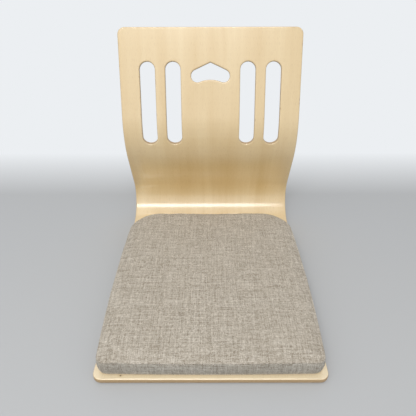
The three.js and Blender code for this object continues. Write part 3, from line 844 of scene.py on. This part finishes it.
def boxing_surface(turn, share):
    """Outer side of the boxing from base seam, share 0, to top seam, share 1. It leans out from the narrower
    base and barrels by 4 share (1 - share), and both edges roll into their seams. Its ends at the rear stay
    flat, in line with the zip strips."""
    low_x, low_y = plan(turn, base_inset)
    high_x, high_y = plan(turn)
    x = low_x + (high_x - low_x) * share
    y = low_y + (high_y - low_y) * share
    step = 1e-3
    ahead_x, ahead_y = plan(turn + step)
    back_x, back_y = plan(turn - step)
    tangent = np.stack([ahead_x - back_x, ahead_y - back_y], axis=-1)
    tangent /= np.linalg.norm(tangent, axis=-1, keepdims=True)
    height = seam_level - cushion_base - cloth_thickness
    from_end = np.minimum(share, 1 - share) * height / boxing_roll
    rolled = 1 - np.sqrt(1 - np.clip(math.sin(seam_turn) - from_end, 0, 1) ** 2)
    near_top = np.exp(-(1 - share) * height / pucker_reach)
    out = boxing_barrel * 4 * share * (1 - share) - boxing_roll * rolled
    out = out + pucker_height * around(turn, puckers) * near_top * (1 - rolled)
    rear = np.clip((high_y / half_depth - (1 - flat_rear_share)) / flat_rear_share, 0, 1)
    out = out * (1 - rear)
    z = cushion_base + cloth_thickness + height * share + seam_wave * around(turn, seam_drift) * near_top
    corner = (np.abs(high_x / half_width) * np.abs(high_y / half_depth)) ** corner_power
    z = z - (corner_drop * corner + front_drop(high_x, high_y)) * share
    x = x + out * tangent[..., 1]
    y = y - out * tangent[..., 0]
    return np.stack([x, y + cushion_middle, z], axis=-1)


# Threads, slubs and slow drifts of tone to the metre, and the noise's step from thread to thread.
warp_count = 950
weft_count = 820
thread_step = 7.31
weft_offset = 31
slub_count = 170
slub_share = 0.52
drift_count = 20
drift_share = 0.48


def linen_group():
    """Plain weave of slubby flax. Threads run both ways at a fixed count to the metre, and the ones that go
    over show as a chequer. Each has its own tone, which changes along it, thicker and paler at a slub."""
    tree, start, end = new_group("linen_weave", {"Vector": "Vector"}, {"Tone": "Float", "Height": "Float"})
    part = node(tree, "SeparateXYZ", {0: start.outputs["Vector"]})
    sets = []
    for across, along, count, offset in (
        (part.outputs[0], part.outputs[1], warp_count, 0),
        (part.outputs[1], part.outputs[0], weft_count, weft_offset),
    ):
        place = multiplied(tree, across, count)
        number = math_node(tree, "FLOOR", place)
        inside = math_node(tree, "SUBTRACT", math_node(tree, "FRACT", place), 0.5)
        fall = multiplied(tree, multiplied(tree, inside, inside), 4)
        round_top = math_node(tree, "SUBTRACT", 1, fall)
        own = multiplied(tree, added(tree, number, offset), thread_step)
        slub_steps = multiplied(tree, along, slub_count)
        slub_place = node(tree, "CombineXYZ", {0: own, 1: slub_steps}).outputs[0]
        drift_steps = multiplied(tree, along, drift_count)
        drift_place = node(tree, "CombineXYZ", {0: own, 1: drift_steps, 2: 4.0}).outputs[0]
        slubs = multiplied(tree, noise(tree, slub_place, 1.0), slub_share)
        drift = multiplied(tree, noise(tree, drift_place, 1.0), drift_share)
        sets.append((number, round_top, added(tree, slubs, drift)))
    (warp_number, warp_height, warp_tone), (weft_number, weft_height, weft_tone) = sets
    odd = math_node(tree, "FRACT", multiplied(tree, added(tree, warp_number, weft_number), 0.5))
    over = multiplied(tree, odd, 2)
    under = math_node(tree, "SUBTRACT", 1, over)
    tone = added(tree, multiplied(tree, warp_tone, over), multiplied(tree, weft_tone, under))
    height = multiplied(tree, warp_height, weft_height)
    tree.links.new(spread(tree, tone, 0.37, 0.63), end.inputs["Tone"])
    tree.links.new(height, end.inputs["Height"])
    return tree


linen_weave = linen_group()
linen_tones = (colour(134, 123, 108), colour(194, 186, 173), colour(240, 234, 224))
# Painted shade: the boxing's linen tones are darker and greyer than the top's.
shade_painted_linen_tones = (colour(126, 117, 105), colour(182, 177, 166), colour(228, 225, 217))
linen_cloud = colour(184, 174, 159)
# Painted shade in the hollows between the threads.
linen_painted_hollow_shade = colour(106, 95, 82)


def linen_material(name, dark, middle, pale):
    """Taupe linen. Pale slubs and a few dark threads lie among the middle tones, and painted shade makes the
    hollows between the threads darkest."""
    material, tree, shader = new_material(name, Roughness=0.9, Sheen_Weight=0.15, Sheen_Roughness=0.5)
    cloth = node(tree, "UVMap", uv_map="cloth").outputs[0]
    weave = node(tree, "Group", {"Vector": cloth}, node_tree=linen_weave)
    ramp = node(tree, "ValToRGB", {"Fac": weave.outputs["Tone"]})
    ramp.color_ramp.elements[0].color = dark
    ramp.color_ramp.elements[1].color = pale
    ramp.color_ramp.elements.new(0.5).color = middle
    cloud = noise(tree, stretched(tree, cloth, 12, 12), 2.0)
    shade = blended(tree, spread(tree, cloud, 0.3, 0.7, 0.0, 0.25), ramp.outputs[0], linen_cloud)
    # Painted shade: the lower the weave, the darker.
    painted_hollow_shade = spread(tree, weave.outputs["Height"], 0.0, 0.5, 0.55, 0.0)
    shade = blended(tree, painted_hollow_shade, shade, linen_painted_hollow_shade)
    link_finish(tree, shader, shade, weave.outputs["Height"], 0.5, 0.0004)
    return material


linen = linen_material("linen", *linen_tones)
# The boxing and the zip strips take a linen painted a shade darker and greyer, which stands in for the shade
# on the cushion's upright faces.
shade_painted_linen = linen_material("linen_painted_shade", *shade_painted_linen_tones)
top_columns = 150
top_rows = 164
fine_reach = 0.008
fine_lines = 11
boxing_columns = 620
boxing_rows = 27


def edge_lines(count, half_size):
    """Grid lines from -1 to 1, closer together within a short reach of both ends."""
    fine = 1 - fine_reach / half_size
    middle = np.linspace(-fine, fine, count)
    end = np.linspace(fine, 1, fine_lines + 1)[1:]
    return np.concatenate([-end[::-1], middle, end])


def panel(name, across_lines, along_lines, surface, nodes):
    """Sewn panel over the square of parameters, as a closed cloth solid."""
    outer = surface(*np.meshgrid(across_lines, along_lines))
    points, solid, source = cloth_solid(outer)
    uv = outer.reshape(-1, 3)[source][:, :2]
    return add_piece(name, points, solid, uv, linen, "cushion", nodes, sharp=60)


top_across = edge_lines(top_columns, half_width)
top_along = edge_lines(top_rows, half_depth)
top_panel = panel("top_panel_cloth", top_across, top_along, top_surface, ["cushion_top_panel"])


def boxing():
    """Boxing band from one end of the zip, round the front, to the other end. Its rows lie closer together
    near both seams: shares are half even steps and half (1 - cos) / 2."""
    rear_side = np.linspace(2, 3, 401)
    ends = np.interp([-zip_half_span, zip_half_span], plan(rear_side)[0][::-1], rear_side[::-1])
    turn = np.linspace(ends[0] - 4, ends[1], boxing_columns)
    shares = 0.5 - 0.5 * np.cos(np.linspace(0, math.pi, boxing_rows))
    shares = 0.5 * shares + 0.5 * np.linspace(0, 1, boxing_rows)
    turn, share = np.meshgrid(turn, shares)
    outer = boxing_surface(turn, share)
    points, solid, source = cloth_solid(outer)
    steps = np.linalg.norm(np.diff(outer[boxing_rows // 2], axis=0), axis=1)
    run = np.broadcast_to(np.concatenate([[0], np.cumsum(steps)]), turn.shape)
    uv = np.stack([run, outer[..., 2]], axis=-1).reshape(-1, 2)[source]
    nodes = ["cushion_boxing"]
    add_piece("boxing_cloth", points, solid, uv, shade_painted_linen, "cushion", nodes, sharp=60)


boxing()


def base_surface(across, along):
    """Outer, lower side of the base panel. It is flat, and turned over so that it faces down."""
    turn, share = plan_turn(across, along)
    x, y = plan(turn, base_inset)
    z = np.full_like(x, cushion_base)
    return np.stack([-x * share, y * share + cushion_middle, z], axis=-1)


base_across = np.linspace(-1, 1, 61)
base_along = np.linspace(-1, 1, 65)
panel("base_panel_cloth", base_across, base_along, base_surface, ["cushion_base_panel"])

# Filling: a slab of polyurethane foam with bonded polyester wadding laid over it, both cut to the cushion's
# plan. They are pushed into the cover through the zip, and the cover alone holds them.
filling_border = 0.0052
filling_gap = 0.0004
filling_rear_start = 0.140
filling_rear_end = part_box("foam_core")[1].y
wadding_thickness = 0.007
wadding_edge = 0.0025
foam_edge = 0.004
filling_columns = 91
filling_rows = 99
fleece_dark = colour(222, 222, 217)
fleece_light = colour(244, 244, 241)
# Painted shade in the foam's cell hollows.
foam_painted_hollow_shade = colour(206, 192, 150)
foam_skin = colour(240, 229, 196)
foam_yellow = colour(244, 226, 180)
foam_cells = 1400


def filling(name, edge, span, material, nodes):
    """Closed slab whose plan is the cushion's. Its rim is rounded by quarter circles: the inset is edge times
    (1 - sin turn) and the depth edge times (1 - cos turn). The span gives its lowest and highest levels."""
    across, along = np.meshgrid(np.linspace(-1, 1, filling_columns), np.linspace(-1, 1, filling_rows))
    quarter = np.radians(np.linspace(0, 90, 5))
    rings = []
    for upper, turns in ((True, quarter), (False, quarter[::-1])):
        for turn in turns:
            border = filling_border + edge * (1 - math.sin(turn))
            share = 1 - border / half_width
            ring = top_surface(across * share, along * share)
            rear_end = ring[-1, filling_columns // 2, 1]
            squeeze = (filling_rear_end - filling_rear_start) / (rear_end - filling_rear_start)
            late = np.maximum(ring[..., 1] - filling_rear_start, 0)
            ring[..., 1] -= late * (1 - squeeze)
            low, high = span(ring[..., 2])
            rounding = edge * (1 - math.cos(turn))
            ring[..., 2] = high - rounding if upper else low + rounding
            rings.append(ring.reshape(-1, 3))
    points, solid = sheet_solid(np.stack(rings), grid_faces(*across.shape))[:2]
    return add_piece(name, points, solid, None, material, "cushion", nodes)


def wadding_span(cover):
    """Lowest and highest levels of the wadding under the cover's outer side."""
    high = cover - cloth_thickness - filling_gap
    return high - wadding_thickness, high


def foam_span(cover):
    """Lowest and highest levels of the foam between the base panel and the wadding."""
    low = np.full_like(cover, cushion_base + cloth_thickness + filling_gap / 2)
    return low, wadding_span(cover)[0] - filling_gap / 2


def wadding_material():
    """White bonded fibre: soft tufts with fine strands through them."""
    material, tree, shader = new_material("wadding", Roughness=1.0, Sheen_Weight=0.4, Sheen_Roughness=0.6)
    place = node(tree, "TexCoord").outputs["Object"]
    tufts = noise(tree, stretched(tree, place, 160, 160, 160), 3.0, 0.6)
    strands = noise(tree, stretched(tree, place, 1800, 500, 1800), 2.0, 0.6)
    shade = blended(tree, spread(tree, tufts, 0.3, 0.7), fleece_dark, fleece_light)
    relief = added(tree, tufts, multiplied(tree, strands, 0.4))
    link_finish(tree, shader, shade, relief, 0.6, 0.0015)
    return material


def foam_material():
    """Cream open-cell foam: cells under a millimetre wide, with painted shade darkening their hollows."""
    material, tree, shader = new_material("foam", Roughness=0.95)
    place = node(tree, "TexCoord").outputs["Object"]
    cell_place = stretched(tree, place, foam_cells, foam_cells, foam_cells)
    cells = node(tree, "TexVoronoi", {"Vector": cell_place, "Scale": 1.0}).outputs[0]
    cloud = noise(tree, stretched(tree, place, 30, 30, 30), 2.0)
    # Painted shade: darker towards the middle of each cell.
    shade = blended(tree, spread(tree, cells, 0.1, 0.7), foam_painted_hollow_shade, foam_skin)
    shade = blended(tree, spread(tree, cloud, 0.3, 0.7, 0, 0.3), shade, foam_yellow)
    link_finish(tree, shader, shade, cells, 0.5, 0.0005)
    return material


fleece = wadding_material()
wadding = filling("wadding_fleece", wadding_edge, wadding_span, fleece, ["wadding_layer"])
foam = filling("foam_slab", foam_edge, foam_span, foam_material(), ["foam_core"])

# Zip in the rear boxing: two linen strips folded back at the opening, each sewn to a woven tape that carries
# a row of nylon coil. A metal clamp closes each end of the rows.
strip_roll = 0.0006
strip_columns = 240
wire_radius = 0.0003
wire_sides = 8
turn_steps = 16
coil_pitch = 0.0013
stop_bevel = 0.0004
tape_bevel = 0.00015
tape_levels = 500
tape_ribs = 2600
tape_dark = colour(118, 108, 95)
tape_light = colour(168, 157, 140)
coil_taupe = colour(140, 130, 115)
zinc_dark = colour(182, 179, 173)
zinc_light = colour(214, 211, 205)


def zip_strip(name, nodes):
    """Strip of the rear boxing. Its outer side drops by roll times (1 - sin turn) at both long edges."""
    low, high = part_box(nodes[0])
    across = np.linspace(high.x, low.x, strip_columns)
    turns = np.radians(np.linspace(0, 90, 6))
    rounded = strip_roll * (1 - np.cos(turns))
    levels = np.concatenate([low.z + rounded, np.linspace(low.z, high.z, 8)[2:-2], high.z - rounded[::-1]])
    x, z = np.meshgrid(across, levels)
    from_edge = np.minimum(np.minimum(z - low.z, high.z - z), strip_roll)
    drop = strip_roll - np.sqrt(strip_roll**2 - (strip_roll - from_edge) ** 2)
    outer = np.stack([x, high.y - drop, z], axis=-1)
    inner = np.stack([x, np.full_like(x, low.y), z], axis=-1)
    points, solid = slab(outer, inner)[:2]
    add_piece(name, points, solid, points[:, [0, 2]], shade_painted_linen, "cushion", nodes, sharp=60)


zip_strip("zip_strip_lower_cloth", ["zip_strip_lower"])
zip_strip("zip_strip_upper_cloth", ["zip_strip_upper"])


def block(name, material, body, nodes, bevel):
    """Block in the space of a node's box, with all its edges rounded by a bevel."""
    low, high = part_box(nodes[0])
    levels = (low.z, high.z)
    corners = np.array([[x, y, z] for z in levels for y in (low.y, high.y) for x in (low.x, high.x)])
    sides = [[0, 2, 3, 1], [4, 5, 7, 6], [0, 1, 5, 4], [2, 6, 7, 3], [0, 4, 6, 2], [1, 3, 7, 5]]
    made = add_piece(name, corners, sides, None, material, body, nodes)
    rounding = made.modifiers.new("rounding", "BEVEL")
    rounding.width = bevel
    rounding.segments = 3


def tape_material():
    """Close-woven polyester tape with a herringbone of fine ribs along it."""
    material, tree, shader = new_material("zip_tape", Roughness=0.75, Sheen_Weight=0.1)
    part = node(tree, "SeparateXYZ", {0: node(tree, "TexCoord").outputs["Object"]}).outputs
    level = math_node(tree, "PINGPONG", multiplied(tree, part[2], tape_levels), 1.0)
    slant = added(tree, multiplied(tree, part[0], tape_ribs), multiplied(tree, level, 2.0))
    ribs = math_node(tree, "PINGPONG", slant, 1.0)
    shade = blended(tree, ribs, tape_dark, tape_light)
    link_finish(tree, shader, shade, ribs, 0.4, 0.0002)
    return material


tape_weave = tape_material()
block("zip_tape_lower_weave", tape_weave, "cushion", ["zip_tape_lower"], tape_bevel)
block("zip_tape_upper_weave", tape_weave, "cushion", ["zip_tape_upper"], tape_bevel)


def tube_faces(rings, sides):
    """Quads between neighbouring rings of points, and one flat face at each end."""
    start = np.arange(rings - 1)[:, None] * sides
    first = start + np.arange(sides)
    second = start + (np.arange(sides) + 1) % sides
    quads = np.stack([first, second, second + sides, first + sides], axis=-1).reshape(-1, 4)
    last = (rings - 1) * sides
    return quads.tolist() + [list(range(sides))[::-1], list(range(last, last + sides))]


def coil(name, material, nodes, phase):
    """Flattened helix of wire: y and z are half sizes times the cosine and the sine of the turn, and x gains
    a pitch each turn. Each ring of the wire lies square to the helix."""
    low, high = np.array(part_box(nodes[0]))
    reach_y, reach_z = (high - low)[1:] / 2 - wire_radius
    middle = (low + high) / 2
    length = high[0] - low[0] - 2 * wire_radius
    steps = int(length / coil_pitch * turn_steps)
    turn = np.linspace(0, 2 * math.pi * length / coil_pitch, steps) + phase
    run = np.linspace(-length / 2, length / 2, steps)
    path = np.stack([run, reach_y * np.cos(turn), reach_z * np.sin(turn)], axis=1)
    way = np.gradient(path, axis=0)
    way /= np.linalg.norm(way, axis=1, keepdims=True)
    outward = np.stack([np.zeros(steps), np.cos(turn) / reach_y, np.sin(turn) / reach_z], axis=1)
    side = np.cross(way, outward)
    side /= np.linalg.norm(side, axis=1, keepdims=True)
    outward = np.cross(side, way)
    angle = np.linspace(0, 2 * math.pi, wire_sides, endpoint=False)
    ring = outward[:, None] * np.cos(angle)[:, None] + side[:, None] * np.sin(angle)[:, None]
    points = (middle + path[:, None] + wire_radius * ring).reshape(-1, 3)
    faces = tube_faces(steps, wire_sides)
    add_piece(name, points, faces, None, material, "cushion", nodes)


nylon = new_material("zip_coil", Base_Color=coil_taupe, Roughness=0.35, IOR=1.53)[0]
coil("zip_coil_lower_wire", nylon, ["zip_coil_lower"], 0.0)
coil("zip_coil_upper_wire", nylon, ["zip_coil_upper"], math.pi)


def zinc_material():
    """Die-cast zinc with dull nickel plating, lightly brushed."""
    material, tree, shader = new_material("zip_metal", Metallic=1.0)
    place = node(tree, "TexCoord").outputs["Object"]
    brush = noise(tree, stretched(tree, place, 900, 900, 9000), 2.0)
    cloud = noise(tree, stretched(tree, place, 400, 400, 400), 2.0)
    shade = blended(tree, cloud, zinc_dark, zinc_light)
    tree.links.new(spread(tree, brush, 0.3, 0.7, 0.28, 0.42), shader.inputs["Roughness"])
    link_finish(tree, shader, shade, brush, 0.08, 0.0001)
    return material


zinc = zinc_material()
block("zip_stop_left_clamp", zinc, "cushion", ["zip_stop_left"], stop_bevel)
block("zip_stop_right_clamp", zinc, "cushion", ["zip_stop_right"], stop_bevel)

# Zip slider and its pull tab: two plates on a post run on the coil rows, and the tab's bar turns under the
# slider's bridge. Both are cast in zinc, and tumbling has rounded their edges.
cast_bevel = 0.00022


def cast_piece(name, body, nodes):
    """Copy of a small cast node. Its doubled points are merged, its flat faces made whole, and its edges
    rounded by a bevel."""
    source = bpy.data.objects[nodes[0]]
    shape = bmesh.new()
    shape.from_mesh(source.data)
    bmesh.ops.remove_doubles(shape, verts=shape.verts, dist=1e-6)
    bmesh.ops.dissolve_limit(shape, angle_limit=math.radians(1), verts=shape.verts, edges=shape.edges)
    mesh = bpy.data.meshes.new(name)
    shape.to_mesh(mesh)
    shape.free()
    points = np.zeros(len(mesh.vertices) * 3)
    mesh.vertices.foreach_get("co", points)
    faces = [list(face.vertices) for face in mesh.polygons]
    bpy.data.meshes.remove(mesh)
    made = add_piece(name, points.reshape(-1, 3), faces, None, zinc, body, nodes)
    rounding = made.modifiers.new("rounding", "BEVEL")
    rounding.width = cast_bevel
    rounding.segments = 2
    rounding.limit_method = "ANGLE"
    rounding.angle_limit = math.radians(40)


cast_piece("zip_slider_casting", "slider", ["zip_slider"])
cast_piece("zip_pull_casting", "pull", ["zip_pull"])

# Hook and loop patches: nylon hooks glued to the seat, and brushed loops sewn under the cushion. They keep
# the cushion from sliding on the lacquer, and let it be pulled off for washing.
patch_corner = 0.004
patch_columns = 150
patch_rows = 63
hook_pitch = 0.0016
hook_height = 0.0005
fleece_height = 0.0003
relief_rim = 0.001
strand_count = 2400
hook_dark = colour(112, 102, 88)
hook_light = colour(172, 160, 142)
loop_dark = colour(168, 158, 142)
loop_light = colour(222, 213, 197)


def patch(name, turned_up, material, body, nodes, relief):
    """Plate with round corners. A corner's square (u, v) becomes a quarter circle by u times the root of
    (1 - v squared / 2) and the same the other way round. The relief lies on its working side."""
    low, high = np.array(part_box(nodes[0]))
    half = (high - low) / 2
    middle = (low + high) / 2
    across = np.linspace(-half[0], half[0], patch_columns)
    along = np.linspace(-half[1], half[1], patch_rows)
    x, y = np.meshgrid(across, along)
    u = np.clip(np.abs(x) - half[0] + patch_corner, 0, None) / patch_corner
    v = np.clip(np.abs(y) - half[1] + patch_corner, 0, None) / patch_corner
    x = x - np.sign(x) * patch_corner * u * (1 - np.sqrt(1 - v**2 / 2))
    y = y - np.sign(y) * patch_corner * v * (1 - np.sqrt(1 - u**2 / 2))
    from_rim = np.minimum(half[0] - np.abs(x), half[1] - np.abs(y))
    height = relief(x, y) * np.clip(from_rim / relief_rim - 0.5, 0, 1)
    plate = 2 * half[2] - (hook_height if turned_up else fleece_height)
    sign = 1 if turned_up else -1
    back = np.full_like(x, middle[2] - sign * half[2])
    face = back + sign * (plate + height)
    face_side = np.stack([middle[0] + sign * x, middle[1] + y, face], axis=-1)
    back_side = np.stack([middle[0] + sign * x, middle[1] + y, back], axis=-1)
    points, solid = slab(face_side, back_side)[:2]
    add_piece(name, points, solid, None, material, body, nodes)


def hook_relief(x, y):
    """Rows of hooks: height times the squares of two cosines, with each row moved on by half a pitch."""
    row = np.floor(y / hook_pitch + 0.5)
    across = np.cos(math.pi * (x / hook_pitch + row / 2)) ** 2
    along = np.cos(math.pi * y / hook_pitch) ** 2
    return hook_height * across * along


def loop_relief(x, y):
    """Brushed fleece: height times a sum of sines that don't repeat within the patch."""
    swell = np.sin(x * 2300 + 1.7 * np.sin(y * 1900)) * np.sin(y * 2700 + 1.3 * np.sin(x * 1500))
    return fleece_height * (0.5 + 0.5 * swell)


def nap_material(name, dark, light, rough):
    """Nylon with fine strands in two tones."""
    material, tree, shader = new_material(name, Roughness=rough, Sheen_Weight=0.15)
    place = node(tree, "TexCoord").outputs["Object"]
    strands = noise(tree, stretched(tree, place, strand_count, strand_count, strand_count), 2.0, 0.6)
    shade = blended(tree, spread(tree, strands, 0.3, 0.7), dark, light)
    link_finish(tree, shader, shade, strands, 0.4, 0.0003)
    return material


hook_nylon = nap_material("hook_tape", hook_dark, hook_light, 0.5)
loop_nylon = nap_material("loop_tape", loop_dark, loop_light, 0.9)
for corner in ("front_left", "front_right", "rear_left", "rear_right"):
    hook_node, loop_node = "hook_patch_" + corner, "loop_patch_" + corner
    patch(hook_node + "_hooks", True, hook_nylon, "shell", [hook_node], hook_relief)
    patch(loop_node + "_loops", False, loop_nylon, "cushion", [loop_node], loop_relief)

# Felt glides: four discs of pressed wool felt glued under the seat. They lift it off the floor, which leaves
# the thin dark gap under the front edge, and keep the lacquer from scratching.
glide_edge = 0.0007
glide_segments = 96
glide_flat_rings = 6
fibre_count = 1500
felt_dark = colour(98, 90, 80)
felt_light = colour(150, 141, 128)


def felt_material():
    """Pressed wool felt: mottled fibres of a warm grey."""
    material, tree, shader = new_material("felt", Roughness=1.0, Sheen_Weight=0.3, Sheen_Roughness=0.6)
    place = node(tree, "TexCoord").outputs["Object"]
    fibres = noise(tree, stretched(tree, place, fibre_count, fibre_count, fibre_count), 4.0, 0.7)
    shade = blended(tree, spread(tree, fibres, 0.3, 0.7), felt_dark, felt_light)
    link_finish(tree, shader, shade, fibres, 0.5, 0.0005)
    return material


def glide(name, material, nodes):
    """Disc turned from a profile: flat faces joined by quarter circles at both edges. Rings run from the
    middle of the underside, round the rim, to the middle of the upper side."""
    low, high = np.array(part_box(nodes[0]))
    middle, radius, height = (low + high) / 2, (high[0] - low[0]) / 2, high[2] - low[2]
    quarter = np.radians(np.linspace(0, 90, 5))
    out = radius - glide_edge + glide_edge * np.sin(quarter)
    up = glide_edge * (1 - np.cos(quarter))
    flat = np.linspace(0.1, 0.9, glide_flat_rings) * (radius - glide_edge)
    profile = np.concatenate([flat, out, out[::-1], flat[::-1]])
    below, above = np.zeros(glide_flat_rings), np.full(glide_flat_rings, height)
    levels = np.concatenate([below, up, height - up[::-1], above])
    angle = np.linspace(0, 2 * math.pi, glide_segments, endpoint=False)
    x = middle[0] + profile[:, None] * np.cos(angle)
    y = middle[1] + profile[:, None] * np.sin(angle)
    z = low[2] + np.broadcast_to(levels[:, None], x.shape)
    points = np.stack([x, y, z], axis=-1).reshape(-1, 3)
    faces = tube_faces(len(profile), glide_segments)
    add_piece(name, points, faces, None, material, "shell", nodes)


felt = felt_material()
for corner in ("front_left", "front_right", "rear_left", "rear_right"):
    glide("felt_glide_" + corner + "_disc", felt, ["felt_glide_" + corner])

# Floor and light: a plain pale floor, an even room light, large soft lamps overhead and in front, and a
# ceiling lamp whose reflection runs along the bend. To the camera and in reflections the floor is paler than
# in the light that it throws on the chair, and behind and far from the chair it is as pale as the room.
floor_half = 6
floor_seen = colour(190, 193, 197)
floor_bounce = colour(146, 148, 151)
room_seen = colour(236, 239, 242)
room_tint = colour(250, 249, 247)
room_strength = 0.56
floor_behind = (0.33, 0.6)
floor_away = (1.0, 4.0)


def seen_share(tree):
    """1 on rays from the camera, in reflections and through clear things, else 0."""
    light_path = node(tree, "LightPath").outputs
    seen = math_node(tree, "MAXIMUM", light_path["Is Camera Ray"], light_path["Is Glossy Ray"])
    return math_node(tree, "MAXIMUM", seen, light_path["Is Transmission Ray"])


floor_mesh = bpy.data.meshes.new("floor")
corners = [(-1, -1, 0), (1, -1, 0), (1, 1, 0), (-1, 1, 0)]
floor_mesh.from_pydata([(x * floor_half, y * floor_half, z) for x, y, z in corners], [], [(0, 1, 2, 3)])
floor = bpy.data.objects.new("floor", floor_mesh)
bpy.context.scene.collection.objects.link(floor)
floor_material, tree, shader = new_material("floor", Roughness=0.7)
seen = seen_share(tree)
tree.links.new(blended(tree, seen, floor_bounce, floor_seen), shader.inputs["Base Color"])
place = node(tree, "TexCoord").outputs["Object"]
behind = spread(tree, node(tree, "SeparateXYZ", {0: place}).outputs[1], *floor_behind)
far_off = spread(tree, vector_length(tree, place), *floor_away)
away = multiplied(tree, seen, math_node(tree, "MAXIMUM", behind, far_off))
room_light = node(tree, "Emission", {"Color": room_seen}).outputs[0]
floor_mix = node(tree, "MixShader", {0: away, 1: shader.outputs[0], 2: room_light}).outputs[0]
tree.links.new(floor_mix, tree.nodes["Material Output"].inputs["Surface"])
floor_mesh.materials.append(floor_material)

world = bpy.data.worlds.new("room")
world.use_nodes = True
tree = world.node_tree
seen = seen_share(tree)
background = tree.nodes["Background"]
tree.links.new(blended(tree, seen, room_tint, room_seen), background.inputs["Color"])
tree.links.new(spread(tree, seen, 0, 1, room_strength, 1), background.inputs["Strength"])
bpy.context.scene.world = world


def add_lamp(name, place, target, size, power, tint):
    """Soft rectangular lamp that shines from its place towards a target."""
    lamp = bpy.data.lights.new(name, "AREA")
    lamp.shape = "RECTANGLE"
    lamp.size, lamp.size_y = size
    lamp.energy = power
    lamp.color = tint[:3]
    made = bpy.data.objects.new(name, lamp)
    made.location = place
    made.rotation_euler = (Vector(target) - Vector(place)).to_track_quat("-Z", "Y").to_euler()
    bpy.context.scene.collection.objects.link(made)


add_lamp(
    "ceiling_lamp",
    place=(-0.19, -1.82, 2.25),
    target=(0, 0.2, 0.1),
    size=(1.62, 0.76),
    power=30,
    tint=colour(255, 253, 249),
)
add_lamp(
    "overhead_lamp",
    place=(-0.5, -0.6, 2.2),
    target=(0, 0.05, 0.1),
    size=(2.2, 2.0),
    power=10,
    tint=colour(255, 253, 248),
)
add_lamp(
    "front_lamp",
    place=(-0.6, -2.1, 1.3),
    target=(0, 0.1, 0.25),
    size=(2.0, 1.3),
    power=2.5,
    tint=colour(252, 252, 255),
)

bpy.context.scene.view_settings.view_transform = "Standard"
